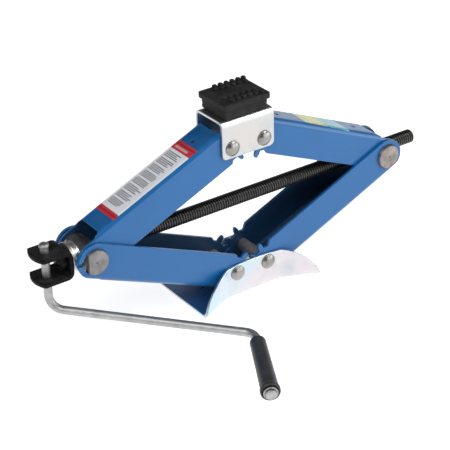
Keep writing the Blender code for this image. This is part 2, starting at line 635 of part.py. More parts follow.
def sweep(points, radii, sides=16):
    """Round tube along a path, closed by its end rings; the radius may change on the way."""
    points = [Vector(p) for p in points]
    tangents = [(points[min(i + 1, len(points) - 1)] - points[max(i - 1, 0)]).normalized()
                for i in range(len(points))]
    across = tangents[0].orthogonal().normalized()
    bm = bmesh.new()
    rings = []
    for point, tangent, radius in zip(points, tangents, radii):
        across = (across - tangent * across.dot(tangent)).normalized()
        other = tangent.cross(across)
        rings.append([bm.verts.new(point + radius * (math.cos(a) * across + math.sin(a) * other))
                      for a in np.linspace(0, 2 * math.pi, sides, endpoint=False)])
    for before, after in zip(rings, rings[1:]):
        for i in range(sides):
            j = (i + 1) % sides
            bm.faces.new((before[i], before[j], after[j], after[i]))
    bm.faces.new(rings[0])
    bm.faces.new(reversed(rings[-1]))
    bmesh.ops.recalc_face_normals(bm, faces=bm.faces)
    return bm


def bend(corner, arriving, leaving, radius, steps):
    """Points of a round bend that replaces the corner between two directions."""
    arriving, leaving = Vector(arriving).normalized(), Vector(leaving).normalized()
    angle = arriving.angle(leaving)
    start = Vector(corner) - arriving * radius * math.tan(angle / 2)
    inward = (leaving - arriving * leaving.dot(arriving)).normalized()
    return [start + radius * (arriving * math.sin(a) + inward * (1 - math.cos(a)))
            for a in np.linspace(0, angle, steps + 1)]


def crank_directions():
    """Unit vectors of the crank's arm and of its grip leg, both level at rest."""
    turn = ROD_ARM_TURN
    grip_turn = ROD_ARM_TURN + ROD_GRIP_DEFLECTION
    return (Vector((math.cos(turn), math.sin(turn), 0)),
            Vector((math.cos(grip_turn), math.sin(grip_turn), 0)))


def make_rod(parent):
    """Crank rod: a headed leg through the yoke, a long arm and a leg for the grip."""
    arm, grip = crank_directions()
    down = Vector((0, 0, -1))
    knee = Vector((0, 0, -ROD_LEG_DROP))
    corner = knee + arm * ROD_ARM_LENGTH
    end = corner + grip * ROD_GRIP_LENGTH
    leg_top = Vector((0, 0, ROD_LEG_TOP))
    head = [leg_top, leg_top + down * 0.5 * MM, leg_top + down * ROD_HEAD_LENGTH / 2,
            leg_top + down * (ROD_HEAD_LENGTH - 0.4 * MM), leg_top + down * ROD_HEAD_LENGTH]
    head_radii = [0.6 * ROD_HEAD_RADIUS, 0.85 * ROD_HEAD_RADIUS, ROD_HEAD_RADIUS, ROD_HEAD_RADIUS, ROD_RADIUS]
    bends = bend(knee, down, arm, ROD_BEND_RADIUS, 8) + bend(corner, arm, grip, ROD_BEND_RADIUS, 7)
    tail = [end - grip * ROD_RIVET_LENGTH, end - grip * (ROD_RIVET_LENGTH - 0.1 * MM),
            end - grip * ROD_RIVET_LENGTH / 2, end]
    tail_radii = [ROD_RADIUS, 1.25 * ROD_RADIUS, 1.25 * ROD_RADIUS, 0.8 * ROD_RADIUS]
    points = head + bends + tail
    radii = head_radii + [ROD_RADIUS] * len(bends) + tail_radii
    return add_piece("crank_rod", sweep(points, radii), parent, "bright_zinc")


def make_grip(parent, washer_parent):
    """Sleeve that turns on the grip leg, and the washer the leg's end is riveted over."""
    arm, grip = crank_directions()
    corner = Vector((0, 0, -ROD_LEG_DROP)) + arm * ROD_ARM_LENGTH
    bore = ROD_RADIUS + GAP
    stop = GRIP_START + GRIP_LENGTH
    collar = 5 * MM
    radii = [(GRIP_START, bore), (GRIP_START, GRIP_NEAR_RADIUS), (GRIP_START + collar, GRIP_NEAR_RADIUS),
             (stop - collar, GRIP_FAR_RADIUS), (stop - 1 * MM, GRIP_FAR_RADIUS),
             (stop, GRIP_FAR_RADIUS - 1 * MM), (stop, bore)]
    turn = grip.to_track_quat("X", "Z").to_matrix().to_4x4()
    sleeve = lathe(radii, "X", SMALL_SIDES)
    bmesh.ops.transform(sleeve, matrix=turn, verts=sleeve.verts)
    add_piece("crank_grip", sleeve, parent, "grip_plastic")
    low = stop + GAP
    washer = ring(low, low + GRIP_WASHER_THICKNESS, bore, GRIP_WASHER_RADIUS, "X", SMALL_SIDES)
    bmesh.ops.transform(washer, matrix=Matrix.Translation(corner) @ turn, verts=washer.verts)
    add_piece("grip_washer", washer, washer_parent, "bright_zinc")


# ---------------------------------------------------------------- assembly

def make_screw(parent, nut_face, shoulder):
    """Screw through both trunnions: a stud for the yoke and its nut, a shoulder, then the long shank."""
    low = nut_face - NUT_HEIGHT - SCREW_END_PROUD
    high = low + SCREW_LENGTH
    chamfer = 1 * MM
    profile = [(low, 0), (low, SCREW_STUD_RADIUS - chamfer), (low + chamfer, SCREW_STUD_RADIUS),
               (shoulder, SCREW_STUD_RADIUS), (shoulder, SCREW_RADIUS),
               (high - chamfer, SCREW_RADIUS), (high, SCREW_RADIUS - chamfer), (high, 0)]
    return add_piece("lead_screw", lathe(profile, "X", SMALL_SIDES), parent, "black_oxide")


def build():
    half = PIVOT_SPACING / 2
    base = make_frame("base_frame", None, (0, 0, 0))
    lower_left = make_frame("lower_left_hinge", base, (-half, 0, BASE_PIVOT_HEIGHT), REST_ANGLE)
    lower_right = make_frame("lower_right_hinge", base, (half, 0, BASE_PIVOT_HEIGHT), -REST_ANGLE)
    upper_left = make_frame("upper_left_hinge", lower_left, (-ARM_LENGTH, 0, 0), -2 * REST_ANGLE)
    upper_right = make_frame("upper_right_hinge", lower_right, (ARM_LENGTH, 0, 0), 2 * REST_ANGLE)
    thrust_side = make_frame("thrust_block_hinge", lower_left, (-ARM_LENGTH, 0, 0), -REST_ANGLE)
    nut_side = make_frame("nut_block_hinge", lower_right, (ARM_LENGTH, 0, 0), REST_ANGLE)
    saddle = make_frame("saddle_hinge", upper_left, (ARM_LENGTH, 0, 0), REST_ANGLE)

    make_base(base)
    make_saddle(saddle)
    make_pad(saddle)
    make_arm("lower_left_arm", lower_left, upper=False, right=False)
    make_arm("lower_right_arm", lower_right, upper=False, right=True)
    make_arm("upper_left_arm", upper_left, upper=True, right=False)
    make_arm("upper_right_arm", upper_right, upper=True, right=True)
    for side, x in (("left", -half), ("right", half)):
        low, high = (x, 0, BASE_PIVOT_HEIGHT), (x + half, 0, 0)
        make_rivet(f"base_rivet_{side}", base, low, BASE_CHEEK_FACE + GAP)
        make_rivet(f"saddle_rivet_{side}", saddle, high, SADDLE_CHEEK_FACE + GAP)
        make_spacer(f"base_spacer_{side}", base, low, LOWER_ARM_WIDTH / 2 - ARM_SHEET - GAP)
        make_spacer(f"saddle_spacer_{side}", saddle, high, UPPER_ARM_WIDTH / 2 - ARM_SHEET - GAP)

    make_trunnion("thrust_trunnion", thrust_side, flat=True)
    make_trunnion("nut_trunnion", nut_side, flat=False)
    fixed_high = -TRUNNION_FLAT - GAP
    fixed_low = fixed_high - WASHER_THICKNESS
    ball_centre = fixed_low - GAP - BALL_RADIUS
    turning_high = ball_centre - BALL_RADIUS - GAP
    turning_low = turning_high - WASHER_THICKNESS
    plate_high = turning_low - GAP
    plate_low = plate_high - SHELL_PLATE
    yoke_face = plate_low - GAP
    nut_face = yoke_face - YOKE_SHEET - GAP
    bore = SCREW_RADIUS + GAP

    turning = make_frame("screw_axis", thrust_side, (0, 0, 0))
    rolling = make_frame("ball_cage_axis", thrust_side, (0, 0, 0))
    add_piece("thrust_washer_fixed", ring(fixed_low, fixed_high, bore, WASHER_RADIUS, "X"),
              thrust_side, "bearing_steel")
    make_ball_cage(rolling, ball_centre)
    make_balls(rolling, ball_centre)
    add_piece("thrust_washer_turning", ring(turning_low, turning_high, bore, WASHER_RADIUS, "X"),
              turning, "bearing_steel")
    make_bearing_shell(turning, plate_low, plate_high, -TRUNNION_FLAT - SHELL_SKIRT_SETBACK)
    make_yoke(turning, yoke_face)
    make_yoke_nut(turning, nut_face)
    make_screw(turning, nut_face, plate_low)

    swivel = make_frame("crank_swivel_axis", turning, (yoke_face - YOKE_PIN_REACH, 0, 0))
    arm, _ = crank_directions()
    corner = Vector((0, 0, -ROD_LEG_DROP)) + arm * ROD_ARM_LENGTH
    grip_axis = make_frame("grip_axis", swivel, corner)
    make_rod(swivel)
    make_grip(grip_axis, swivel)
    bpy.context.view_layer.update()


for item in list(bpy.data.objects):
    bpy.data.objects.remove(item, do_unlink=True)
MATERIALS = {name: make_material(name) for name in COLOURS}
build()
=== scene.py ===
"""Looks of a scissor jack: enamelled channel arms, zinc plated base and saddle, screw, folding crank.

Metres, +Z up.  The screw lies along X with the crank's end at -X, and the front is -Y.
"""
import json
import math

import bmesh
import bpy
import numpy as np
from mathutils import Matrix, Vector


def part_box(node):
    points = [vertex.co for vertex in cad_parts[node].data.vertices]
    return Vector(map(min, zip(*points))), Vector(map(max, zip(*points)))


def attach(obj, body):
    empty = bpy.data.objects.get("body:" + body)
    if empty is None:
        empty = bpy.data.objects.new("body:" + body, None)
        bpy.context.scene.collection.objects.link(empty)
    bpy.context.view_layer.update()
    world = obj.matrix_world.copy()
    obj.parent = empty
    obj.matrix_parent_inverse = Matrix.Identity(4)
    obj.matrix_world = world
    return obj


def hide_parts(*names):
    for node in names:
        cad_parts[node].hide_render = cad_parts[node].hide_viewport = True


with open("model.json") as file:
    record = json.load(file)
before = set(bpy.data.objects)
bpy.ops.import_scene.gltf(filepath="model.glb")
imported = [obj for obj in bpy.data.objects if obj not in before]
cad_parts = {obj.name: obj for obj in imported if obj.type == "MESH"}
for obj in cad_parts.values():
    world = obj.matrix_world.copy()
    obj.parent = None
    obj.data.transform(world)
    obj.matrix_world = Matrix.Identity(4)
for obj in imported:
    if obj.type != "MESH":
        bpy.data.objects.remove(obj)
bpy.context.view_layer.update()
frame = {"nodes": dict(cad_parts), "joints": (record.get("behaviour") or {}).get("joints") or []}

MM = 0.001
TAU = 2 * math.pi
JOINTS = {joint["name"]: joint for joint in frame["joints"]}

# places and sizes read from the frame
LEFT_RIVET = np.array(JOINTS["lift"]["pos_m"])
RIGHT_RIVET = np.array(JOINTS["lower_right_turn"]["pos_m"])
THRUST = np.array(JOINTS["thrust_block_turn"]["pos_m"])
NUT = np.array(JOINTS["nut_block_turn"]["pos_m"])
SADDLE_LEFT = np.array(JOINTS["saddle_turn"]["pos_m"])
SADDLE_RIGHT = SADDLE_LEFT * (-1, 1, 1)
LEG = np.array(JOINTS["crank_swivel"]["pos_m"])
GRIP_CORNER = np.array(JOINTS["grip_spin"]["pos_m"])
GRIP_DIRECTION = np.array(JOINTS["grip_spin"]["axis"])
ARM_SLOPE = math.atan2(THRUST[2] - LEFT_RIVET[2], LEFT_RIVET[0] - THRUST[0])

PLAY = 0.3 * MM

# sheet metal
ARM_WEB_OFFSET = 19 * MM
ARM_BEND_RADIUS = 6 * MM
ARM_FOLD_ROUNDING = 0.45 * MM
BASE_SHEET = 2.9 * MM
BASE_CHEEK_FACE = 25 * MM
BASE_FOLD_RADIUS = 6 * MM
BASE_STRAIGHT = 60 * MM
BASE_FLARE_BLEND = 3 * MM
BASE_WING_FLARE = 16.5 * MM
BASE_CROWN = 2.3 * MM
EDGE_ROUNDING = 0.8 * MM

# screw
SCREW_RADIUS = 7 * MM
THREAD_PITCH = 2.7 * MM
THREAD_DEPTH = 1.0 * MM
STUD_RADIUS = 5.2 * MM

# crank
ROD_RADIUS = 3.95 * MM
ROD_HEAD_RADIUS = 4.8 * MM
ROD_BEND_RADIUS = 13.5 * MM
GRIP_NEAR_RADIUS = 7.2 * MM
GRIP_FAR_RADIUS = 8.7 * MM
GRIP_START = 13 * MM
GRIP_STOP = 89 * MM


# ---- shader node groups

def new_group(name, inputs, outputs):
    """A shader node group with a vector input, inputs given as {name: default}, and named outputs."""
    group = bpy.data.node_groups.new(name, "ShaderNodeTree")
    group.interface.new_socket("Vector", in_out="INPUT", socket_type="NodeSocketVector")
    for label, default in inputs.items():
        socket = group.interface.new_socket(label, in_out="INPUT", socket_type="NodeSocketFloat")
        socket.default_value = default
    for label in outputs:
        group.interface.new_socket(label, in_out="OUTPUT", socket_type="NodeSocketFloat")
    return group, group.nodes.new("NodeGroupInput"), group.nodes.new("NodeGroupOutput")


def is_socket(value):
    return isinstance(value, bpy.types.NodeSocket)


def feed(sockets, values):
    """Link or set each socket in turn."""
    for socket, value in zip(sockets, values):
        if is_socket(value):
            socket.id_data.links.new(value, socket)
        else:
            socket.default_value = value


def fed_node(kind, names, values, **settings):
    """A node in the tree of the sockets among the values, with its inputs of these names fed in turn."""
    tree = next(value.id_data for value in values if is_socket(value))
    node = tree.nodes.new("ShaderNode" + kind)
    for setting, value in settings.items():
        setattr(node, setting, value)
    feed([node.inputs[name] for name in names], values)
    return node


def math_node(operation, *values):
    return fed_node("Math", range(len(values)), values, operation=operation).outputs[0]


def times(first, second):
    return math_node("MULTIPLY", first, second)


def scaled(value, factor, start):
    """Value times factor, plus start."""
    return math_node("MULTIPLY_ADD", value, factor, start)


def noise(vector, scale, detail=3.0, roughness=0.5):
    names = ("Vector", "Scale", "Detail", "Roughness")
    return fed_node("TexNoise", names, (vector, scale, detail, roughness)).outputs["Fac"]


def between(value, low, high):
    """Value stretched so that low gives 0 and high gives 1, clamped."""
    return fed_node("MapRange", ("Value", "From Min", "From Max"), (value, low, high)).outputs["Result"]


def grey(level):
    return level, level, level, 1


def mix_colour(share, first, second):
    return fed_node("Mix", ("Factor", "A", "B"), (share, first, second), data_type="RGBA").outputs["Result"]


def object_place(tree, centre=None):
    """Object coordinates, moved so that centre is their origin."""
    place = tree.nodes.new("ShaderNodeTexCoord").outputs["Object"]
    if centre is None:
        return place
    mapping = tree.nodes.new("ShaderNodeMapping")
    mapping.inputs["Location"].default_value = [-value for value in centre]
    tree.links.new(place, mapping.inputs["Vector"])
    return mapping.outputs["Vector"]


def make_grain_group():
    """Grain: two noises, a coarse cloudy one and a fine one, and their sum as a height."""
    group, into, out = new_group("grain", {"Coarse Scale": 40.0, "Fine Scale": 900.0},
                                 ("Cloud", "Fine", "Height"))
    cloud = noise(into.outputs["Vector"], into.outputs["Coarse Scale"])
    fine = noise(into.outputs["Vector"], into.outputs["Fine Scale"], 4.0, 0.6)
    height = scaled(cloud, 0.5, fine)
    feed(out.inputs, [cloud, fine, height])
    return group


def make_edge_shading_and_wear_group():
    """Masks along edges from how far a rounded normal leans from the true one: plain, for painted light and
    shade, and broken up by noise, for worn spots.
    """
    group, into, out = new_group("edge_wear", {"Width": 0.0006, "Breakup": 0.5}, ("Edge", "Worn"))
    rounded = group.nodes.new("ShaderNodeBevel")
    rounded.samples = 4
    group.links.new(into.outputs["Width"], rounded.inputs["Radius"])
    plain = group.nodes.new("ShaderNodeNewGeometry")
    lean = group.nodes.new("ShaderNodeVectorMath")
    lean.operation = "DOT_PRODUCT"
    feed(lean.inputs, [rounded.outputs["Normal"], plain.outputs["Normal"]])
    edge = between(lean.outputs["Value"], 0.995, 0.86)
    spots = noise(into.outputs["Vector"], 260.0, 4.0, 0.65)
    gate = between(spots, scaled(into.outputs["Breakup"], 0.16, 0.42), 0.66)
    feed(out.inputs, [edge, times(edge, gate)])
    return group


def make_dust_group():
    """Dust that lies on faces which look up, in soft patches."""
    group, into, out = new_group("dust", {"Amount": 0.3}, ("Dust",))
    normal = group.nodes.new("ShaderNodeNewGeometry").outputs["Normal"]
    parts = group.nodes.new("ShaderNodeSeparateXYZ")
    group.links.new(normal, parts.inputs[0])
    up = between(parts.outputs["Z"], 0.2, 1.0)
    patches = between(noise(into.outputs["Vector"], 75.0, 5.0, 0.65), 0.38, 0.72)
    dust = times(times(up, patches), into.outputs["Amount"])
    feed(out.inputs, [dust])
    return group


def make_swirl_group():
    """Turning marks on a face square to Y: fine rings about the centre, uneven round the turn."""
    group, into, out = new_group("turning_marks", {"Pitch": 0.0009}, ("Rings", "Radius"))
    parts = group.nodes.new("ShaderNodeSeparateXYZ")
    group.links.new(into.outputs["Vector"], parts.inputs[0])
    squares = [times(parts.outputs[k], parts.outputs[k]) for k in ("X", "Z")]
    radius = math_node("SQRT", math_node("ADD", *squares))
    wobble = times(noise(into.outputs["Vector"], 190.0), 0.0016)
    turns = math_node("DIVIDE", math_node("ADD", radius, wobble), into.outputs["Pitch"])
    rings = math_node("SINE", times(turns, TAU))
    feed(out.inputs, [between(rings, -1.0, 1.0), radius])
    return group


GRAIN = make_grain_group()
EDGE_SHADING_AND_WEAR_GROUP = make_edge_shading_and_wear_group()
DUST = make_dust_group()
SWIRL = make_swirl_group()


def place_group(group, vector, **values):
    """An instance of a node group on a vector, with its other inputs set; words in a name are joined by _."""
    node = vector.id_data.nodes.new("ShaderNodeGroup")
    node.node_tree = group
    names = ["Vector"] + [name.replace("_", " ").title() for name in values]
    feed([node.inputs[name] for name in names], [vector, *values.values()])
    return node.outputs


# ---- materials

def new_material(name, **constants):
    """A material with one Principled shader; constants set its sockets, words joined by _."""
    material = bpy.data.materials.new(name)
    material.use_nodes = True
    tree = material.node_tree
    shader = tree.nodes["Principled BSDF"]
    for label, value in constants.items():
        shader.inputs[label.replace("_", " ").title().replace("Ior", "IOR")].default_value = value
    return material, tree, shader


def grained_material(name, coarse, fine, centre=None, **constants):
    """A new material with its object coordinates and an instance of the grain group."""
    material, tree, shader = new_material(name, **constants)
    place = object_place(tree, centre)
    grain = place_group(GRAIN, place, coarse_scale=coarse, fine_scale=fine)
    return material, tree, shader, place, grain


def connect(shader, **sources):
    for label, source in sources.items():
        feed([shader.inputs[label.replace("_", " ").title()]], [source])


def bump(shader, height, strength, distance):
    names = ("Strength", "Distance", "Height")
    connect(shader, normal=fed_node("Bump", names, (strength, distance, height)).outputs["Normal"])


def make_enamel():
    """Blue enamel: cloudy colour, orange peel, painted highlights along the edges, chips, and painted shade
    on the faces that look into the channel, which are also rougher.
    """
    material, tree, shader, place, grain = grained_material(
        "blue_enamel", 22.0, 520.0, Specular_IOR_Level=0.5, Coat_Weight=0.15, Coat_Roughness=0.10)
    shading_and_wear = place_group(EDGE_SHADING_AND_WEAR_GROUP, place, width=0.0007, breakup=1.0)
    dust = place_group(DUST, place, amount=0.05)
    body = mix_colour(grain["Cloud"], (0.003, 0.110, 0.335, 1), (0.007, 0.136, 0.388, 1))
    # painted highlight: every edge is mixed toward pale blue
    edged = mix_colour(times(shading_and_wear["Edge"], 0.30), body, (0.12, 0.33, 0.66, 1))
    chipped = mix_colour(times(shading_and_wear["Worn"], 0.25), edged, (0.30, 0.36, 0.42, 1))
    # painted shade: faces that look into the channel are mixed almost to black, where little light reaches
    inside = tree.nodes.new("ShaderNodeAttribute")
    inside.attribute_name = "inside"
    shaded = mix_colour(times(inside.outputs["Fac"], 0.78), chipped, (0.002, 0.012, 0.034, 1))
    dusty = mix_colour(dust["Dust"], shaded, grey(0.42))
    rough = scaled(grain["Fine"], 0.12, 0.24)
    rough = scaled(inside.outputs["Fac"], 0.3, rough)
    rough = scaled(dust["Dust"], 0.4, rough)
    connect(shader, base_color=dusty, roughness=rough)
    bump(shader, grain["Height"], 0.05, 0.0004)
    return material


def make_zinc(name, cool, warm, roughness):
    """Passivated zinc: a bright metal whose tint drifts from bluish to pinkish, with faint rolling lines."""
    material, tree, shader, place, grain = grained_material(name, 34.0, 240.0, Metallic=1.0)
    shading_and_wear = place_group(EDGE_SHADING_AND_WEAR_GROUP, place, width=0.0006, breakup=0.4)
    drift = between(noise(place, 21.0, 2.0, 0.4), 0.36, 0.64)
    tint = mix_colour(drift, cool, warm)
    stained = mix_colour(between(grain["Cloud"], 0.56, 0.80), tint, (0.50, 0.54, 0.58, 1))
    # painted shade: a dark line along every edge, together with worn spots broken up by noise
    rubbed = math_node("MAXIMUM", shading_and_wear["Worn"], times(shading_and_wear["Edge"], 0.75))
    edged = mix_colour(times(rubbed, 0.8), stained, (0.20, 0.205, 0.22, 1))
    rough = scaled(grain["Fine"], 0.16, roughness - 0.08)
    rough = scaled(grain["Cloud"], 0.08, rough)
    connect(shader, base_color=edged, roughness=rough)
    lines = tree.nodes.new("ShaderNodeMapping")
    lines.inputs["Scale"].default_value = (0.06, 1.0, 1.0)
    tree.links.new(place, lines.inputs["Vector"])
    bump(shader, noise(lines.outputs["Vector"], 420.0, 2.0), 0.03, 0.0002)
    return material


def make_steel(name, pale, dark, roughness, centre=None):
    """Turned or drawn steel; with a centre it carries turning marks on faces square to Y, and painted shade
    in a small spot at the centre.
    """
    material, tree, shader, place, grain = grained_material(name, 120.0, 1500.0, centre, Metallic=1.0)
    colour = mix_colour(between(grain["Cloud"], 0.3, 0.7), dark, pale)
    rough = scaled(grain["Fine"], 0.22, roughness - 0.1)
    height = grain["Fine"]
    if centre is not None:
        swirl = place_group(SWIRL, place, pitch=0.0011)
        colour = mix_colour(times(swirl["Rings"], 0.35), colour, dark)
        # painted shade: a dark spot over the shallow centre mark
        centre_shade_spot = between(swirl["Radius"], 0.0016, 0.0004)
        colour = mix_colour(times(centre_shade_spot, 0.7), colour, grey(0.05))
        height = scaled(swirl["Rings"], 1.2, grain["Fine"])
    connect(shader, base_color=colour, roughness=rough)
    bump(shader, height, 0.16, 0.0003)
    return material


def make_black_coating(name, colour, sheen_colour, roughness, lumps):
    """Black paint or oxide: nearly black, with a painted sheen, paler and browner, along every edge, and
    small lumps.
    """
    material, tree, shader, place, grain = grained_material(name, 180.0, 900.0, Specular_IOR_Level=0.12)
    shading_and_wear = place_group(EDGE_SHADING_AND_WEAR_GROUP, place, width=0.0008, breakup=0.2)
    dust = place_group(DUST, place, amount=0.16)
    # painted sheen: every edge is mixed toward the paler, browner sheen colour
    edged = mix_colour(times(shading_and_wear["Edge"], 0.5), colour, sheen_colour)
    dusty = mix_colour(dust["Dust"], edged, (0.22, 0.22, 0.23, 1))
    rough = scaled(grain["Fine"], 0.2, roughness - 0.1)
    connect(shader, base_color=dusty, roughness=rough)
    bump(shader, grain["Height"], lumps, 0.0005)
    return material


def make_thread_steel():
    """Blackened thread, rubbed to bare steel where the piece's crest attribute is high."""
    material, tree, shader, place, grain = grained_material("thread_steel", 150.0, 1300.0)
    crest = tree.nodes.new("ShaderNodeAttribute")
    crest.attribute_name = "crest"
    rubbed = times(between(crest.outputs["Fac"], 0.55, 0.98), between(grain["Cloud"], 0.18, 0.50))
    colour = mix_colour(rubbed, (0.004, 0.0038, 0.0036, 1), (0.11, 0.107, 0.103, 1))
    connect(shader, base_color=colour, metallic=scaled(rubbed, 0.6, 0.35),
            roughness=scaled(grain["Fine"], 0.22, 0.24))
    bump(shader, grain["Fine"], 0.12, 0.0002)
    return material


def make_polymer(name, colour, pale, roughness, grain_scale, depth):
    """Moulded black rubber or plastic with a fine matt grain and a little settled dust."""
    material, tree, shader, place, grain = grained_material(name, 95.0, grain_scale, Specular_IOR_Level=0.35)
    dust = place_group(DUST, place, amount=0.15)
    cloudy = mix_colour(between(grain["Cloud"], 0.35, 0.75), colour, pale)
    dusty = mix_colour(dust["Dust"], cloudy, grey(0.16))
    rough = scaled(grain["Fine"], 0.25, roughness - 0.12)
    connect(shader, base_color=dusty, roughness=rough)
    bump(shader, grain["Height"], depth, 0.0006)
    return material


def uv_parts(tree):
    """The piece's own UV map as two numbers: across and along."""
    parts = tree.nodes.new("ShaderNodeSeparateXYZ")
    tree.links.new(tree.nodes.new("ShaderNodeTexCoord").outputs["UV"], parts.inputs[0])
    return parts.outputs["X"], parts.outputs["Y"]


def band(value, low, high, soft=0.004):
    """1 where value lies between low and high, with soft ends; either limit may be a socket."""
    above = between(math_node("SUBTRACT", value, low), -soft, soft)
    below = between(math_node("SUBTRACT", value, high), soft, -soft)
    return times(above, below)


def make_label_paper():
    """Label: white film, red bands at both ends, one pale bar and groups of plain grey bars."""
    material, tree, shader = new_material("label_film", Roughness=0.34, Coat_Weight=0.2, Coat_Roughness=0.2)
    across, along = uv_parts(tree)
    rows = 52.0
    line = times(along, rows)
    row = math_node("FLOOR", line)
    within = math_node("FRACT", line)
    random = tree.nodes.new("ShaderNodeTexWhiteNoise")
    random.noise_dimensions = "1D"
    tree.links.new(row, random.inputs["W"])
    ragged = scaled(random.outputs["Value"], 0.24, 0.16)
    cell = tree.nodes.new("ShaderNodeCombineXYZ")
    feed(cell.inputs, [times(across, 26.0), row, 0.0])
    gaps = between(noise(cell.outputs[0], 1.0, 1.0), 0.36, 0.42)
    blank = math_node("COMPARE", math_node("FLOORED_MODULO", row, 5.0), 0.0, 0.1)
    inks = [band(within, 0.20, 0.74, 0.08), band(across, ragged, 0.88, 0.01), gaps,
            math_node("SUBTRACT", 1.0, blank), band(along, 0.10, 0.88)]
    ink = inks[0]
    for more in inks[1:]:
        ink = times(ink, more)
    paper = mix_colour(times(ink, 0.95), (0.88, 0.90, 0.95, 1), (0.07, 0.08, 0.10, 1))
    red = math_node("MAXIMUM", band(along, -1.0, 0.066), band(along, 0.893, 2.0))
    stripe = math_node("MAXIMUM", band(along, 0.026, 0.038), band(along, 0.962, 0.974))
    panel = times(band(along, 0.917, 0.942), band(across, 0.22, 0.86))
    coloured = mix_colour(red, paper, (0.62, 0.040, 0.060, 1))
    striped = mix_colour(times(stripe, 0.8), coloured, (0.20, 0.010, 0.02, 1))
    final = mix_colour(times(panel, 0.75), striped, (0.74, 0.55, 0.58, 1))
    connect(shader, base_color=final)
    return material


def make_prism_film():
    """Prismatic sticker: yellow through green to cyan along its length, in wavy bands."""
    material, tree, shader = new_material("prism_film", Metallic=0.25, Coat_Weight=0.4, Coat_Roughness=0.1)
    across, along = uv_parts(tree)
    place = object_place(tree)
    ripple = noise(place, 95.0, 3.0, 0.6)
    from_saddle = math_node("SUBTRACT", 1.0, scaled(across, 0.16, along))
    hue = math_node("ADD", from_saddle, scaled(ripple, 0.36, -0.08))
    ramp = tree.nodes.new("ShaderNodeValToRGB")
    stops = ((0.0, (0.30, 0.50, 0.26)), (0.20, (0.52, 0.60, 0.12)), (0.44, (0.68, 0.62, 0.06)),
             (0.56, (0.28, 0.56, 0.26)), (0.70, (0.07, 0.42, 0.58)), (1.0, (0.14, 0.50, 0.68)))
    for _ in stops[2:]:
        ramp.color_ramp.elements.new(0.5)
    for element, (position, colour) in zip(ramp.color_ramp.elements, stops):
        element.position = position
        element.color = (*colour, 1)
    tree.links.new(hue, ramp.inputs["Fac"])
    wave = times(scaled(across, 5.0, times(ripple, 4.0)), TAU)
    crests = between(math_node("SINE", wave), 0.2, 1.0)
    pale = mix_colour(times(crests, 0.30), ramp.outputs["Color"], (0.80, 0.90, 0.86, 1))
    connect(shader, base_color=pale, roughness=scaled(ripple, 0.2, 0.2))
    return material


ENAMEL = make_enamel()
BASE_ZINC = make_zinc("base_zinc", (0.56, 0.69, 0.76, 1), (0.70, 0.655, 0.68, 1), 0.26)
SADDLE_ZINC = make_zinc("saddle_zinc", (0.57, 0.62, 0.63, 1), (0.645, 0.61, 0.59, 1), 0.30)
RIVET_STEEL = make_steel("rivet_steel", (0.40, 0.39, 0.37, 1), (0.27, 0.265, 0.25, 1), 0.28)
THRUST_STEEL = make_steel("thrust_trunnion_steel", (0.38, 0.37, 0.365, 1), (0.21, 0.20, 0.20, 1), 0.52,
                          THRUST)
NUT_STEEL = make_steel("nut_trunnion_steel", (0.44, 0.39, 0.37, 1), (0.22, 0.19, 0.18, 1), 0.42, NUT)
TUBE_STEEL = make_steel("spacer_steel", (0.74, 0.72, 0.69, 1), (0.50, 0.49, 0.47, 1), 0.50)
ROD_ZINC = make_steel("rod_zinc", grey(0.53), grey(0.40), 0.50)
SHELL_ZINC = make_steel("bearing_shell_zinc", (0.90, 0.88, 0.83, 1), (0.68, 0.66, 0.62, 1), 0.42)
RACE_STEEL = make_steel("race_steel", grey(0.66), grey(0.52), 0.16)
CAGE_BRASS = make_steel("cage_brass_finish", (0.60, 0.42, 0.16, 1), (0.45, 0.30, 0.11, 1), 0.30)
THREAD_STEEL = make_thread_steel()
YOKE_BLACK = make_black_coating("yoke_black", (0.004, 0.004, 0.005, 1), (0.045, 0.038, 0.035, 1), 0.50, 0.22)
NUT_BLACK = make_black_coating("nut_black", (0.016, 0.015, 0.015, 1), (0.10, 0.09, 0.08, 1), 0.40, 0.12)
RUBBER = make_polymer("pad_rubber", (0.007, 0.007, 0.008, 1), (0.019, 0.019, 0.020, 1), 0.74, 620.0, 0.5)
GRIP_BLACK = make_polymer("grip_black", (0.026, 0.027, 0.031, 1), (0.044, 0.045, 0.050, 1), 0.44, 1100.0,
                          0.14)
LABEL_FILM = make_label_paper()
PRISM_FILM = make_prism_film()


# ---- surfaces

def add_surface(name, grids, material, sharp_angle=35.0, attribute=None):
    """Join grids of points into one mesh; a grid is (points, wrap rows, wrap columns).

    Neighbouring points become quads, points that coincide are merged, and faces are turned outwards.
    """
    corners, quads, start = [], [], 0
    for points, wrap_rows, wrap_columns in grids:
        rows, columns = points.shape[:2]
        i, j = np.meshgrid(np.arange(rows - (not wrap_rows)), np.arange(columns - (not wrap_columns)),
                           indexing="ij")
        after_i, after_j = (i + 1) % rows, (j + 1) % columns
        ring = [i * columns + j, i * columns + after_j, after_i * columns + after_j, after_i * columns + j]
        quads.append(start + np.stack(ring, -1).reshape(-1, 4))
        corners.append(points.reshape(-1, 3))
        start += rows * columns
    mesh = bpy.data.meshes.new(name)
    mesh.from_pydata(np.concatenate(corners), [], np.concatenate(quads))
    if attribute is not None:
        label, values = attribute
        layer = mesh.attributes.new(label, "FLOAT", "POINT")
        layer.data.foreach_set("value", np.asarray(values, np.float32).ravel())
    clean_mesh(mesh, 1e-6)
    return finish_mesh(name, mesh, material, sharp_angle)


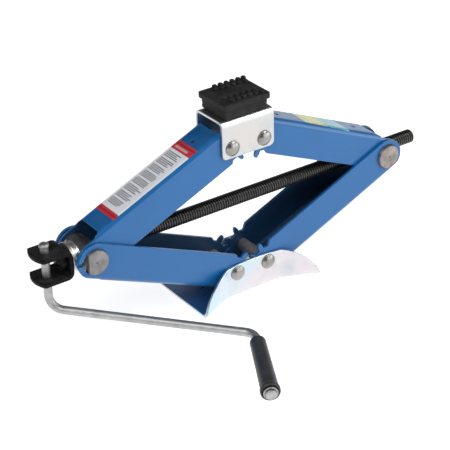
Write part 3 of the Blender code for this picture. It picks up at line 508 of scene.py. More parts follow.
def clean_mesh(mesh, merge, flat_angle=None):
    """Merge points closer than merge, then join faces flatter than flat_angle, or turn faces outwards."""
    bm = bmesh.new()
    bm.from_mesh(mesh)
    bmesh.ops.remove_doubles(bm, verts=bm.verts, dist=merge)
    if flat_angle is None:
        bmesh.ops.recalc_face_normals(bm, faces=bm.faces)
    else:
        bmesh.ops.dissolve_limit(bm, angle_limit=flat_angle, verts=bm.verts, edges=bm.edges)
    bm.to_mesh(mesh)
    bm.free()


def finish_mesh(name, mesh, material, sharp_angle):
    mesh.materials.clear()
    mesh.materials.append(material)
    mesh.shade_smooth()
    mesh.set_sharp_from_angle(angle=math.radians(sharp_angle))
    piece = bpy.data.objects.new(name, mesh)
    bpy.context.scene.collection.objects.link(piece)
    return piece


def full_turn(sides):
    return np.linspace(0, TAU, sides, endpoint=False)


def frame_about(axis):
    """Three unit vectors: the axis and two square to it."""
    axis = np.asarray(axis, float) / np.linalg.norm(axis)
    helper = np.array((0.0, 0.0, 1.0)) if abs(axis[2]) < 0.9 else np.array((1.0, 0.0, 0.0))
    side = np.cross(helper, axis)
    side /= np.linalg.norm(side)
    return axis, side, np.cross(axis, side)


def turned(profile, centre, axis, sides=96, radius_of=None):
    """Surface of revolution: row k stands at profile[k][0] along the axis, profile[k][1] from it.

    radius_of(along, radius, angle) may change the radius round the turn.
    """
    axis, side, other = frame_about(axis)
    along = np.array([p[0] for p in profile])[:, None]
    radius = np.array([p[1] for p in profile])[:, None] * np.ones((1, sides))
    angle = full_turn(sides)[None, :]
    if radius_of is not None:
        radius = radius_of(along, radius, angle)
    return (np.asarray(centre) + along[..., None] * axis + (radius * np.cos(angle))[..., None] * side
            + (radius * np.sin(angle))[..., None] * other)


def rounded(corners, radius, steps=5):
    """Profile with each corner point that has a radius replaced by an arc; 0 keeps it sharp."""
    points = []
    count = len(corners)
    radii = radius if hasattr(radius, "__len__") else [radius] * count
    for k, (corner, r) in enumerate(zip(np.asarray(corners, float), radii)):
        if r == 0 or k in (0, count - 1):
            points.append(tuple(corner))
            continue
        before, after = np.asarray(corners[k - 1]) - corner, np.asarray(corners[k + 1]) - corner
        before, after = before / np.linalg.norm(before), after / np.linalg.norm(after)
        half = math.acos(np.clip(before @ after, -1, 1)) / 2
        reach = r / math.tan(half)
        centre = corner + (before + after) / np.linalg.norm(before + after) * r / math.sin(half)
        first, last = corner + before * reach - centre, corner + after * reach - centre
        sweep = math.pi - 2 * half
        for share in np.linspace(0, 1, steps):
            mixed = (math.sin((1 - share) * sweep) * first + math.sin(share * sweep) * last) / math.sin(sweep)
            points.append(tuple(centre + mixed))
    return points


def turned_piece(name, profile, centre, axis, material, place, sides=96, closed=True, sharp_angle=35.0,
                 radius_of=None):
    """A turned surface as a piece; place is its body, its slot, which is not used, and the node that it
    replaces.
    """
    surface = turned(profile, centre, axis, sides, radius_of)
    return place_piece(add_surface(name, [(surface, closed, True)], material, sharp_angle), *place)


def place_piece(piece, body, slot, *replaced):
    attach(piece, body)
    if replaced:
        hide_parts(*replaced)
    return piece


# ---- folded sheet pieces

def mark_channel_shade(mesh, start, side, level):
    """Face attribute, a mask for painted shade, that is 1 on the faces of a channel arm that look into the
    channel.

    A face looks inwards where its normal points against the line from the channel's core to its middle.
    """
    web = np.array((side * math.sin(ARM_SLOPE), 0, level * math.cos(ARM_SLOPE)))
    middle, normal = np.zeros((2, len(mesh.polygons), 3))
    mesh.polygons.foreach_get("center", middle.reshape(-1))
    mesh.polygons.foreach_get("normal", normal.reshape(-1))
    core = np.stack([middle[:, 1], (middle - start) @ web - ARM_WEB_OFFSET / 3], -1)
    core /= np.linalg.norm(core, axis=1)[:, None] + 1e-9
    inward = normal[:, 1] * core[:, 0] + (normal @ web) * core[:, 1] < -0.3
    layer = mesh.attributes.new("inside", "FLOAT", "FACE")
    layer.data.foreach_set("value", inward.astype(np.float32))


def folded_piece(node, name, body, slot, material, rounding, channel=None):
    """A copy of a folded or cut piece whose sharp edges are rounded by a narrow bevel."""
    mesh = frame["nodes"][node].data.copy()
    clean_mesh(mesh, 2e-6, math.radians(0.8))
    # with a channel, the faces that look into it are marked for painted shade
    if channel is not None:
        mark_channel_shade(mesh, *channel)
    piece = finish_mesh(name, mesh, material, 32.0)
    bevel = piece.modifiers.new("rounding", "BEVEL")
    bevel.width = rounding
    bevel.segments = 3
    bevel.limit_method = "ANGLE"
    bevel.angle_limit = math.radians(32)
    bevel.use_clamp_overlap = False
    weighted = piece.modifiers.new("flat_faces", "WEIGHTED_NORMAL")
    weighted.keep_sharp = True
    return place_piece(piece, body, slot, node)


def base_half_width(x):
    """Half width of the base: straight between the fold lines, then flaring with a soft start."""
    past = np.maximum(np.abs(x) - BASE_STRAIGHT / 2, 0)
    eased = np.minimum(past, BASE_FLARE_BLEND)
    low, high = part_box("base_plate")
    full = (high.x - low.x - BASE_STRAIGHT - BASE_FLARE_BLEND) / 2
    return BASE_CHEEK_FACE + BASE_WING_FLARE * (past - eased + eased ** 2 / (2 * BASE_FLARE_BLEND)) / full


def base_cheek_top(x):
    """Height of the cheeks: a parabolic crown between the folds, a drooping power curve on the wings."""
    low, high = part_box("base_plate")
    half = BASE_STRAIGHT / 2
    edge = high.z - BASE_CROWN
    share = np.clip((np.abs(x) - half) / ((high.x - low.x) / 2 - half), 0, 1)
    crown = edge + BASE_CROWN * (1 - (x / half) ** 2)
    wing = edge * np.clip(1 - share ** 1.5, 0, 1) ** 0.6
    return np.where(np.abs(x) <= half, crown, wing)


def make_base():
    """Folded sheet: at each x a flat floor, a quarter round fold and an upright cheek, thickened inwards.

    The sheet thins to a rounded edge near its rim, as a sheared and tumbled plate does.
    """
    low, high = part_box("base_plate")
    middle, half_length = (low.x + high.x) / 2, (high.x - low.x) / 2
    ends = 1 - np.cumsum(np.array((0.0, 0.15, 0.25, 0.5, 0.9, 1.5))) * MM / half_length
    inner = np.linspace(-ends[-1], ends[-1], 120)[1:-1]
    x = half_length * np.concatenate([-ends, inner, ends[::-1]])[:, None]
    half_thick = BASE_SHEET / 2
    radius = BASE_FOLD_RADIUS - half_thick
    flat = base_half_width(x) - BASE_FOLD_RADIUS
    top = np.maximum(base_cheek_top(x), half_thick)
    rise = np.maximum(top - BASE_FOLD_RADIUS, 0)
    lean = np.arccos(np.clip(1 - top / BASE_FOLD_RADIUS, -1, 1))
    bend = radius * np.minimum(lean, math.pi / 2)
    total = flat + bend + rise
    rim_width = 2 * MM
    s = np.linspace(-1, 1, 141)[None, :] * (total - rim_width)
    rim = total - rim_width + rim_width * np.array((0.25, 0.5, 0.75, 0.87, 0.95, 1.0))[None, :]
    s = np.concatenate([-rim[:, ::-1], s, rim], 1)
    turn = np.clip((np.abs(s) - flat) / radius, 0, math.pi / 2)
    up = np.maximum(np.abs(s) - flat - radius * math.pi / 2, 0)
    y = np.sign(s) * (np.minimum(np.abs(s), flat) + radius * np.sin(turn))
    z = half_thick + radius * (1 - np.cos(turn)) + up
    to_edge = np.minimum(total - np.abs(s), half_length - np.abs(x))
    gone = np.clip(EDGE_ROUNDING - to_edge, 0, EDGE_ROUNDING)
    half = half_thick - EDGE_ROUNDING + np.sqrt(EDGE_ROUNDING ** 2 - gone ** 2)
    normal_y, normal_z = np.sign(s) * np.sin(turn), -np.cos(turn)
    sides = [np.stack([x + middle + 0 * y, y + sign * half * normal_y, z + sign * half * normal_z], -1)
             for sign in (1, -1)]
    around = np.concatenate([sides[0], sides[1][:, ::-1]], 1)
    caps = [(np.stack([sides[0][k], sides[1][k]]), False, False) for k in (0, -1)]
    piece = add_surface("base_sheet", [(around, False, True), *caps], BASE_ZINC, 50.0)
    return place_piece(piece, "base", "zinc", "base_plate")


# ---- rivets, trunnions, bearing

def mirrored(side):
    """A profile followed by its mirror image past the middle."""
    return side + [(-along, radius) for along, radius in reversed(side)]


def make_rivet(node, body, centre):
    """Turned rivet: a shank between two domes, each an arc with a small flat rim."""
    low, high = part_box(node)
    half = (high.y - low.y) / 2
    head, height, shank = (high.x - low.x) / 2, 3.4 * MM, 4.5 * MM
    dome_radius = (head ** 2 + height ** 2) / (2 * height)
    edge = math.asin(head / dome_radius)
    turn = np.linspace(0, edge, 20)[:-1]
    side = [(half - dome_radius * (1 - math.cos(a)), dome_radius * math.sin(a)) for a in turn]
    foot = half - height
    side += [(foot + 0.35 * MM, head - 0.05 * MM), (foot + 0.05 * MM, head - 0.25 * MM), (foot, shank)]
    turned_piece(node + "_domed", mirrored(side), centre, (0, 1, 0), RIVET_STEEL, (body, "bright_zinc", node),
                 closed=False, sharp_angle=50.0)


def ring_profile(a, b, inner, outer, edge=0.3 * MM):
    """Section of a tube or washer from a to b along its axis, with its outer corners cut by edge."""
    rim = outer - edge
    return [(a, inner), (a, rim), (a + edge, outer), (b - edge, outer), (b, rim), (b, inner)]


def make_spacer(node, body, centre):
    """Turned tube round a rivet's shank."""
    low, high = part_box(node)
    half, outer, inner = (high.y - low.y) / 2, (high.x - low.x) / 2, 4.8 * MM
    loop = ring_profile(-half, half, inner, outer)
    turned_piece(node + "_tube", loop, centre, (0, 1, 0), TUBE_STEEL, (body, "steel", node), 64)


def make_trunnion(node, name, body, centre, material, flat=None):
    """Turned cross pin with chamfered ends and a shallow centre mark; flat cuts its outer side square."""
    low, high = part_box(node)
    half, radius = (high.y - low.y) / 2, (high.z - low.z) / 2
    edge = 0.7 * MM
    side = [(half - 0.35 * MM, 0.0), (half - 0.1 * MM, 0.8 * MM), (half, 1.4 * MM), (half, 0.5 * radius),
            (half, radius - edge), (half - 0.2 * MM, radius - 0.25 * MM), (half - edge, radius),
            (0.5 * half, radius)]
    _, first, second = frame_about((0, 1, 0))

    def cut(along, radius_here, angle):
        """Radius no longer than the straight line at the flat's distance allows, in proportion further in."""
        facing = -(np.cos(angle) * first[0] + np.sin(angle) * second[0])
        reach = np.where(facing > 1e-6, flat / np.maximum(facing, 1e-6), 1.0)
        return np.minimum(radius_here, reach * radius_here / radius)

    turned_piece(name, mirrored(side), centre, (0, 1, 0), material, (body, "steel", node), 128, False, 30.0,
                 cut if flat else None)


def make_ring(node, name, body, slot, material, centre):
    """Flat washer with rounded rims, turned about the screw's axis."""
    low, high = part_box(node)
    loop = ring_profile(low.x - centre[0], high.x - centre[0], SCREW_RADIUS + PLAY, (high.z - low.z) / 2)
    turned_piece(name, loop, centre, (1, 0, 0), material, (body, slot, node))


def make_bearing_shell():
    """Drawn cup: a flange against the yoke, a rounded shoulder and a thin skirt with a rolled bead."""
    low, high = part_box("bearing_shell")
    flange = (high.z - low.z) / 2
    a, b = low.x - THRUST[0], high.x - THRUST[0]
    plate, cup, inner, bore = a + 1.5 * MM, flange - 0.85 * MM, flange - 1.75 * MM, SCREW_RADIUS + PLAY
    loop = [(a, bore), (a, flange), (plate, flange), (plate, cup - 0.5 * MM),
            (plate + 1.2 * MM, cup - 0.5 * MM),
            (plate + 2.0 * MM, cup), (b - 2.4 * MM, cup), (b - 2.0 * MM, cup - 0.35 * MM),
            (b - 1.3 * MM, cup - 0.35 * MM), (b - 0.9 * MM, cup), (b, cup), (b, inner), (plate, inner),
            (plate, bore)]
    radii = [0, 0.5 * MM, 0.5 * MM] + [0.15 * MM] * 7 + [0.3 * MM, 0.15 * MM, 0.1 * MM, 0]
    turned_piece("bearing_cup", rounded(loop, radii), THRUST, (1, 0, 0), SHELL_ZINC,
                 ("screw", "bright_zinc", "bearing_shell"), 128, sharp_angle=40.0)


# ---- screw

def make_screw():
    """Threaded rod: radius falls from crest to root as a trapezoid of (x / pitch - angle / full turn).

    The thread fades out at both ends, and a plain stud carries the yoke.
    """
    low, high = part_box("lead_screw")
    a, b = low.x - THRUST[0], high.x - THRUST[0]
    shoulder = -17.7 * MM
    chamfer = 1.2 * MM
    stud = [(a, 0.0), (a, STUD_RADIUS - 1 * MM), (a + 1 * MM, STUD_RADIUS), (shoulder, STUD_RADIUS)]
    samples = np.arange(shoulder + 0.01 * MM, b, THREAD_PITCH / 11)
    along = np.concatenate([[p[0] for p in stud], samples, [b - 0.01 * MM, b]])[:, None]
    plain = np.concatenate([[p[1] for p in stud], np.full(len(samples), SCREW_RADIUS),
                            [SCREW_RADIUS - chamfer, 0.0]])[:, None]
    sides = 44
    angle = full_turn(sides)[None, :]
    phase = np.mod(along / THREAD_PITCH - angle / TAU, 1.0)
    ridge = np.abs(phase - 0.5) * 2
    depth = np.clip((ridge - 0.22) / 0.46, 0, 1)
    depth = depth * depth * (3 - 2 * depth)
    full = plain > SCREW_RADIUS - 1e-9
    threaded = np.clip((along - shoulder - 1 * MM) / (2 * MM), 0, 1) * full
    ends = np.clip((b - along) / chamfer, 0, 1)
    tip = np.where(full, SCREW_RADIUS - chamfer * (1 - ends), plain)
    radius = np.minimum(tip, np.where(threaded > 0, SCREW_RADIUS - THREAD_DEPTH * depth * threaded, plain))
    radius = np.where(plain == 0, 0, radius)
    profile = np.concatenate([along, plain], 1)
    points = turned(profile, THRUST, (1, 0, 0), sides, lambda *_: radius)
    crest = (1 - depth) * np.where(full, 1.0, 0.2)
    piece = add_surface("threaded_screw", [(points, False, True)], THREAD_STEEL, 60.0, ("crest", crest))
    return place_piece(piece, "screw", "black_oxide", "lead_screw")


# ---- crank

def bend_points(corner, arriving, leaving, radius, steps):
    """Points of a round bend that replaces a corner between two directions."""
    angle = math.acos(np.clip(arriving @ leaving, -1, 1))
    start = corner - arriving * radius * math.tan(angle / 2)
    inward = leaving - arriving * (leaving @ arriving)
    inward /= np.linalg.norm(inward)
    turn = np.linspace(0, angle, steps)[:, None]
    return start + radius * (arriving * np.sin(turn) + inward * (1 - np.cos(turn)))


def swept(path, radii, sides=40):
    """Round tube: at each path point a circle square to the path, carried along without twist."""
    path = np.asarray(path)
    tangent = np.gradient(path, axis=0)
    tangent /= np.linalg.norm(tangent, axis=1)[:, None]
    side = frame_about(tangent[0])[1]
    rings = []
    for direction in tangent:
        side = side - direction * (side @ direction)
        side /= np.linalg.norm(side)
        rings.append((side, np.cross(direction, side)))
    first, second = np.array([r[0] for r in rings]), np.array([r[1] for r in rings])
    angle = full_turn(sides)[None, :, None]
    radii = np.asarray(radii)[:, None, None]
    return path[:, None] + radii * (np.cos(angle) * first[:, None] + np.sin(angle) * second[:, None])


def make_rod():
    """Crank rod: a headed leg down through the yoke, a bend, a long arm, a bend and the grip's leg."""
    low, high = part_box("crank_rod")
    down = np.array((0.0, 0.0, -1.0))
    knee = np.array((LEG[0], LEG[1], GRIP_CORNER[2]))
    arm = (GRIP_CORNER - knee) / np.linalg.norm(GRIP_CORNER - knee)
    top = np.array((LEG[0], LEG[1], high.z))
    head_along = np.array((0.0, 0.02, 0.25, 0.7, 1.3, 2.0, 3.2, 3.7, 4.0, 4.05, 6.0)) * MM
    head_radii = [0.0, 1.3 * MM, 2.8 * MM, 3.7 * MM, 4.4 * MM, ROD_HEAD_RADIUS, ROD_HEAD_RADIUS,
                  ROD_HEAD_RADIUS - 0.2 * MM, ROD_RADIUS + 0.2 * MM, ROD_RADIUS, ROD_RADIUS]
    head = top + head_along[:, None] * down
    bends = [bend_points(knee, down, arm, ROD_BEND_RADIUS, 22),
             bend_points(GRIP_CORNER, arm, GRIP_DIRECTION, ROD_BEND_RADIUS, 20)]
    straight = np.linspace(bends[0][-1], bends[1][0], 12)[1:-1]
    tail_along = np.array((40.0, 91.2, 91.5, 91.6, 92.4, 93.0, 93.3, 93.45, 93.5)) * MM
    tail_radii = [share * ROD_RADIUS for share in (1, 1, 1, 1.12, 1.16, 0.98, 0.80, 0.42, 0)]
    tail = GRIP_CORNER + tail_along[:, None] * GRIP_DIRECTION
    path = np.concatenate([head, bends[0], straight, bends[1], tail])
    middle = len(bends[0]) + len(straight) + len(bends[1])
    radii = head_radii + [ROD_RADIUS] * middle + tail_radii
    piece = add_surface("bent_rod", [(swept(path, radii), False, True)], ROD_ZINC, 60.0)
    return place_piece(piece, "crank", "bright_zinc", "crank_rod")


def make_grip():
    """Sleeve: a slow flare between a knurled band near the crank and a notched band at the far end."""
    start, stop, bore = GRIP_START, GRIP_STOP, ROD_RADIUS + 0.35 * MM
    near, far = GRIP_NEAR_RADIUS, GRIP_FAR_RADIUS
    knurl_end = start + 9.2 * MM
    waist = [(along, near + (far - 0.7 * MM - near) * ((along - start) / (stop - start)) ** 1.4)
             for along in np.linspace(start + 4.2 * MM, stop - 6.5 * MM, 24) if along > knurl_end + PLAY]
    near_end = [(0.8, bore), (0.2, bore + 0.8 * MM), (0, near - 1.4 * MM), (0.3, near - 0.6 * MM),
                (1.0, near - 0.15 * MM)]
    far_end = [(5.6, far - 0.75 * MM), (5.0, far - 0.15 * MM), (4.4, far), (1.6, far), (0.6, far - 0.25 * MM),
               (0, far - 1.0 * MM), (0.2, far - 1.6 * MM), (1.4, far - 2.0 * MM), (2.2, far - 2.6 * MM),
               (2.4, bore)]
    profile = [(start + along * MM, radius) for along, radius in near_end]
    profile += [(start + along, near) for along in np.arange(1.3, 9.2, 0.3) * MM]
    profile += waist + [(stop - back * MM, radius) for back, radius in far_end]

    def serrate(along, radius, angle):
        """Crossed fine grooves on the near band and small notches round the far one."""
        lean = along * TAU / (1.8 * MM)
        knurl = (along < knurl_end) * (0.5 + 0.5 * np.cos(26 * angle + lean) * np.cos(26 * angle - lean))
        notch = (along > stop - 5.2 * MM) * (0.5 + 0.5 * np.cos(34 * angle))
        return radius - (0.20 * MM * knurl + 0.14 * MM * notch) * (radius > bore + 2 * MM)

    turned_piece("grip_sleeve", profile, GRIP_CORNER, GRIP_DIRECTION, GRIP_BLACK,
                 ("grip", "grip_plastic", "crank_grip"), 136, sharp_angle=50.0, radius_of=serrate)


def make_grip_washer():
    """Dished washer at the grip's end: a bright raised rim round a sunk middle."""
    a, bore, outer = GRIP_STOP + PLAY, ROD_RADIUS + PLAY, 6.3 * MM
    profile = rounded([(a, bore), (a, outer), (a + 1.4 * MM, outer), (a + 1.4 * MM, outer - 1.1 * MM),
                       (a + 0.6 * MM, outer - 1.5 * MM), (a + 0.6 * MM, bore)],
                      [0, 0.3 * MM, 0.45 * MM, 0.35 * MM, 0.1 * MM, 0])
    turned_piece("grip_end_washer", profile, GRIP_CORNER, GRIP_DIRECTION, ROD_ZINC,
                 ("crank", "bright_zinc", "grip_washer"), 72, sharp_angle=40.0)


# ---- rubber pad

def rounded_rectangle(half_x, half_y, corner, per_corner=9, per_side=10):
    """Outline of a rectangle with round corners, as an array of (x, y), anticlockwise."""
    sides = []
    for quarter, (sx, sy) in enumerate(((1, 1), (-1, 1), (-1, -1), (1, -1))):
        angle = np.linspace(quarter, quarter + 1, per_corner) * math.pi / 2
        centre = np.array((sx * (half_x - corner), sy * (half_y - corner)))
        sides.append(centre + corner * np.stack([np.cos(angle), np.sin(angle)], -1))
    outline = []
    for k, side in enumerate(sides):
        after = sides[(k + 1) % 4][0]
        outline += [side, np.linspace(side[-1], after, per_side)[1:-1]]
    return np.concatenate(outline)


def make_pad():
    """Pad: rounded rectangles stacked from the body through the overhanging lip to the top, with nubs."""
    low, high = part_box("rubber_pad")
    half_x, half_y = 26 * MM, 21.75 * MM
    bottom = low.z
    top = bottom + 16 * MM
    # height over the underside and inset from the lip's outline, in millimetres
    levels = ((0, 8.4), (0, 3.2), (0.8, 2.4), (3.2, 2.3), (3.6, 2.55), (6.4, 2.45), (6.8, 2.25), (9.4, 2.4),
              (10, 1.9), (10.1, 0.5), (10.7, 0), (15.1, 0), (15.75, 0.25), (16, 0.9), (16, 4))
    rows = []
    for height, inset in np.array(levels) * MM:
        outline = rounded_rectangle(half_x - inset, half_y - inset, max(2.2 * MM - inset * 0.5, 0.6 * MM))
        rows.append(np.column_stack([outline, np.full(len(outline), bottom + height)]))
    inward = np.array((0.6, 0.6, 1.0)), np.array((0.0, 0.0, 1.0))
    walls = np.array([rows[0] * inward[1], rows[0] * inward[0], *rows, rows[-1] * inward[0],
                      rows[-1] * inward[1]])
    ripple = 0.10 * MM * np.sin(walls[..., 0] * 900 + 2 * np.sin(walls[..., 1] * 700))
    on_side = (walls[..., 2] > bottom + 0.5 * MM) & (walls[..., 2] < top - 0.5 * MM)
    walls[..., :2] *= (1 - np.abs(ripple * on_side) / half_x)[..., None]
    piece = add_surface("pad_body", [(walls, False, True)], RUBBER, 42.0)
    place_piece(piece, "saddle", "rubber", "rubber_pad")

    nub_radius, nub_height = 2.7 * MM, high.z - top
    share = np.array((0.0, 0.45, 0.78, 0.95, 1.0, 1.02, 1.06, 0.0))
    level = np.array((1.0, 1.0, 0.94, 0.78, 0.5, 0.15, -0.1, -0.1))
    angle = full_turn(20)
    rows_y = np.array((-0.37, -0.2, 0.27, 0.44)) * 2 * half_y
    stagger = np.array((3.0, -0.3, 4.5, 7.8)) * MM
    centres = np.array([(dx + (i - 2.5) * 6.6 * MM, y) for y, dx in zip(rows_y, stagger) for i in range(6)])
    centres[:, 0] = np.minimum(centres[:, 0], half_x - 2.0 * MM)
    radii = np.minimum(share * nub_radius * 0.94, nub_radius)[:, None]
    heights = np.broadcast_to((top + level * nub_height * 0.99)[:, None], (len(level), len(angle)))
    grids = [(np.stack([x + radii * np.cos(angle), y + radii * np.sin(angle), heights], -1), False, True)
             for x, y in centres]
    nubs = add_surface("pad_nubs", grids, RUBBER, 60.0)
    place_piece(nubs, "saddle", "rubber")


# ---- labels

def arm_skin(side, along, across, lift):
    """Point on an upper arm's outer face: across is measured over the web and round its bends.

    side is -1 on the left arm and 1 on the right; along runs from the saddle rivet to the trunnion.
    """
    low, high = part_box("upper_left_arm")
    flat = (high.y - low.y) / 2 - ARM_BEND_RADIUS
    turn = np.clip((np.abs(across) - flat) / ARM_BEND_RADIUS, 0, math.pi / 2)
    past = np.maximum(np.abs(across) - flat - ARM_BEND_RADIUS * math.pi / 2, 0)
    reach = ARM_BEND_RADIUS + lift
    y = np.sign(across) * (np.minimum(np.abs(across), flat) + reach * np.sin(turn))
    height = ARM_WEB_OFFSET - ARM_BEND_RADIUS + reach * np.cos(turn) - past
    start = SADDLE_LEFT if side < 0 else SADDLE_RIGHT
    direction = np.array((side * math.cos(ARM_SLOPE), 0, -math.sin(ARM_SLOPE)))
    normal = np.array((side * math.sin(ARM_SLOPE), 0, math.cos(ARM_SLOPE)))
    sideways = np.array((0, 1.0, 0))
    return start + along[..., None] * direction + height[..., None] * normal + y[..., None] * sideways


def add_film(name, side, along, across, material, body):
    """Thin film on an arm: two skins a little apart, closed round the rim, with a UV map over each."""
    skins = [arm_skin(side, along, across, lift) for lift in (0.16 * MM, 0.02 * MM)]
    rows, columns = along.shape
    u, v = np.meshgrid(np.linspace(0, 1, columns), np.linspace(0, 1, rows))
    points = np.concatenate([skins[0], skins[1][::-1]])
    uv = np.stack([u, 1 - v], -1)
    uv = np.concatenate([uv, uv[::-1]]).reshape(-1, 2)
    i, j = np.meshgrid(np.arange(2 * rows), np.arange(columns - 1), indexing="ij")
    after = (i + 1) % (2 * rows)
    quads = np.stack([i * columns + j, i * columns + j + 1, after * columns + j + 1, after * columns + j], -1)
    k = np.arange(rows - 1)
    rim = np.stack([k, k + 1, 2 * rows - 2 - k, 2 * rows - 1 - k], -1) * columns
    ends = [rim, rim + columns - 1]
    mesh = bpy.data.meshes.new(name)
    mesh.from_pydata(points.reshape(-1, 3), [], np.concatenate([quads.reshape(-1, 4), *ends]))
    layer = mesh.uv_layers.new(name="film")
    corner = np.zeros(len(mesh.loops), np.int32)
    mesh.loops.foreach_get("vertex_index", corner)
    layer.data.foreach_set("uv", uv[corner].astype(np.float32).ravel())
    clean_mesh(mesh, 1e-6)
    piece = finish_mesh(name, mesh, material, 50.0)
    return place_piece(piece, body, "blue_paint")


def make_films():
    """The banded label on the upper left arm and the prismatic sticker wrapped over the upper right arm."""
    label_start, label_stop, label_half = 29.5 * MM, 130.5 * MM, 15.2 * MM
    along, across = np.meshgrid(np.linspace(label_start, label_stop, 60),
                                np.linspace(-label_half, label_half, 31), indexing="ij")
    add_film("banded_label", -1, along, across, LABEL_FILM, "upper_left")
    share = np.linspace(0, 1, 60)[:, None]
    lane = np.linspace(0, 1, 33)[None, :]
    start, stop = (51 + 2 * lane) * MM, (108 - 2 * lane) * MM
    front = -(13.6 + 3.4 * share) * MM
    back = 16 * MM
    add_film("prism_sticker", 1, start + (stop - start) * share, front + (back - front) * lane, PRISM_FILM,
             "upper_right")


# ---- the jack

def make_jack():
    make_base()
    for body, channel in (("lower_left", (LEFT_RIVET, -1, -1)), ("lower_right", (RIGHT_RIVET, 1, -1)),
                          ("upper_left", (SADDLE_LEFT, -1, 1)), ("upper_right", (SADDLE_RIGHT, 1, 1))):
        folded_piece(body + "_arm", body + "_arm_folded", body, "blue_paint", ENAMEL, ARM_FOLD_ROUNDING,
                     channel)
    folded_piece("saddle_bracket", "saddle_folded", "saddle", "zinc", SADDLE_ZINC, 0.5 * MM)
    folded_piece("crank_yoke", "yoke_strip", "screw", "black_paint", YOKE_BLACK, 0.6 * MM)
    folded_piece("yoke_nut", "yoke_hex_nut", "screw", "black_oxide", NUT_BLACK, 0.4 * MM)
    for side, places in (("left", (LEFT_RIVET, SADDLE_LEFT)), ("right", (RIGHT_RIVET, SADDLE_RIGHT))):
        for make, kind in ((make_rivet, "_rivet_"), (make_spacer, "_spacer_")):
            for body, centre in zip(("base", "saddle"), places):
                make(body + kind + side, body, centre)
    make_trunnion("thrust_trunnion", "thrust_pin", "thrust_block", THRUST, THRUST_STEEL, 8 * MM)
    make_trunnion("nut_trunnion", "nut_pin", "nut_block", NUT, NUT_STEEL)
    make_ring("thrust_washer_fixed", "fixed_race", "thrust_block", "bearing_steel", RACE_STEEL, THRUST)
    make_ring("thrust_washer_turning", "turning_race", "screw", "bearing_steel", RACE_STEEL, THRUST)
    make_bearing_shell()
    make_screw()
    make_rod()
    make_grip()
    make_grip_washer()
    make_pad()
    make_films()
    for name, node in frame["nodes"].items():
        if name == "ball_cage" or name.startswith("thrust_ball"):
            finish = CAGE_BRASS if name == "ball_cage" else RACE_STEEL
            node.data.materials.clear()
            node.data.materials.append(finish)


# ---- studio

CAMERA_TURN = math.radians(-34.23)
CAMERA_RISE = math.radians(29.36)
CAMERA_ROLL = math.radians(-1.67)
CAMERA_DISTANCE = 1.4362
CAMERA_TARGET = Vector((-0.01442, 0, 0.06678))


def make_camera():
    """Long lens from the front left, looking down at the middle of the jack."""
    data = bpy.data.cameras.new("camera")
    data.lens = 120
    data.sensor_width = 36
    data.clip_end = 20
    camera = bpy.data.objects.new("camera", data)
    bpy.context.scene.collection.objects.link(camera)
    level = math.cos(CAMERA_RISE)
    back = Vector((math.sin(CAMERA_TURN) * level, -math.cos(CAMERA_TURN) * level, math.sin(CAMERA_RISE)))
    right = Vector((math.cos(CAMERA_TURN), math.sin(CAMERA_TURN), 0))
    up = back.cross(right)
    roll = CAMERA_ROLL
    right, up = right * math.cos(roll) + up * math.sin(roll), up * math.cos(roll) - right * math.sin(roll)
    place = CAMERA_TARGET + back * CAMERA_DISTANCE
    camera.matrix_world = Matrix.Translation(place) @ Matrix((right, up, back)).transposed().to_4x4()
    bpy.context.scene.camera = camera


def make_floor():
    """Pale floor: a wide disc whose edge is far out of view."""
    angle = full_turn(96)
    radius = np.array((0.0, 0.5, 2.0, 8.0))[:, None]
    points = np.stack([radius * np.cos(angle), radius * np.sin(angle), np.full((4, 96), -0.0004)], -1)
    material, tree, shader = new_material("floor_paper", Roughness=0.9, Specular_IOR_Level=0.1)
    cloud = noise(object_place(tree), 3.0)
    tone = mix_colour(cloud, grey(0.50), grey(0.55))
    connect(shader, base_color=tone)
    shader.inputs["Emission Color"].default_value = grey(1)
    shader.inputs["Emission Strength"].default_value = 0.86
    floor = add_surface("floor", [(points, False, True)], material)
    if floor.data.polygons[0].normal.z < 0:
        floor.data.flip_normals()


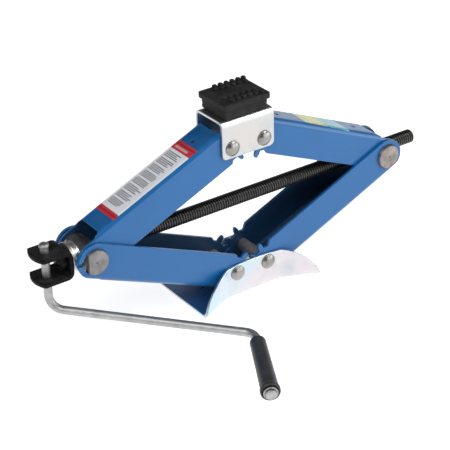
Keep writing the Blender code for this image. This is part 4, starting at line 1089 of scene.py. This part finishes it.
def add_light(name, place, aim, size, power):
    data = bpy.data.lights.new(name, "AREA")
    data.shape = "RECTANGLE"
    data.size, data.size_y = size
    data.energy = power
    light = bpy.data.objects.new(name, data)
    light.location = place
    light.rotation_euler = (Vector(aim) - Vector(place)).to_track_quat("-Z", "Y").to_euler()
    bpy.context.scene.collection.objects.link(light)


def make_studio():
    """Softboxes, a side fill, and a sky bright at the horizon but dark overhead and beside the front left."""
    add_light("front_softbox", (0.9, -2.0, 0.8), (0, 0, 0.08), (1.6, 1.2), 10)
    add_light("right_fill", (1.9, -1.0, 0.5), (0, 0, 0.08), (1.0, 0.8), 7)
    add_light("upper_left_softbox", (-1.3, -0.6, 1.6), (0, 0, 0.1), (0.9, 0.9), 17)
    add_light("upper_front_strip", (0.78, -0.80, 1.33), (0, 0, 0.16), (0.7, 0.45), 9)
    world = bpy.data.worlds.new("studio")
    bpy.context.scene.world = world
    world.use_nodes = True
    tree = world.node_tree
    parts = tree.nodes.new("ShaderNodeSeparateXYZ")
    tree.links.new(tree.nodes.new("ShaderNodeTexCoord").outputs["Generated"], parts.inputs[0])
    ramp = tree.nodes.new("ShaderNodeValToRGB")
    ramp.color_ramp.elements.new(0.5)
    for element, (height, level) in zip(ramp.color_ramp.elements, ((0.04, 1.0), (0.26, 0.30), (0.5, 0.06))):
        element.position = height
        element.color = (level, level, level * 1.02, 1)
    tree.links.new(parts.outputs["Z"], ramp.inputs["Fac"])
    toward = tree.nodes.new("ShaderNodeVectorMath")
    toward.operation = "DOT_PRODUCT"
    feed(toward.inputs, [tree.nodes["Texture Coordinate"].outputs["Generated"], (-0.50, -0.86, 0.08)])
    flag = between(toward.outputs["Value"], 0.82, 0.95)
    shaded = mix_colour(times(flag, 0.85), ramp.outputs["Color"], grey(0.02))
    tree.links.new(shaded, tree.nodes["Background"].inputs["Color"])
    tree.nodes["Background"].inputs["Strength"].default_value = 0.75


make_jack()
make_camera()
make_floor()
make_studio()
bpy.context.scene.view_settings.view_transform = "Standard"
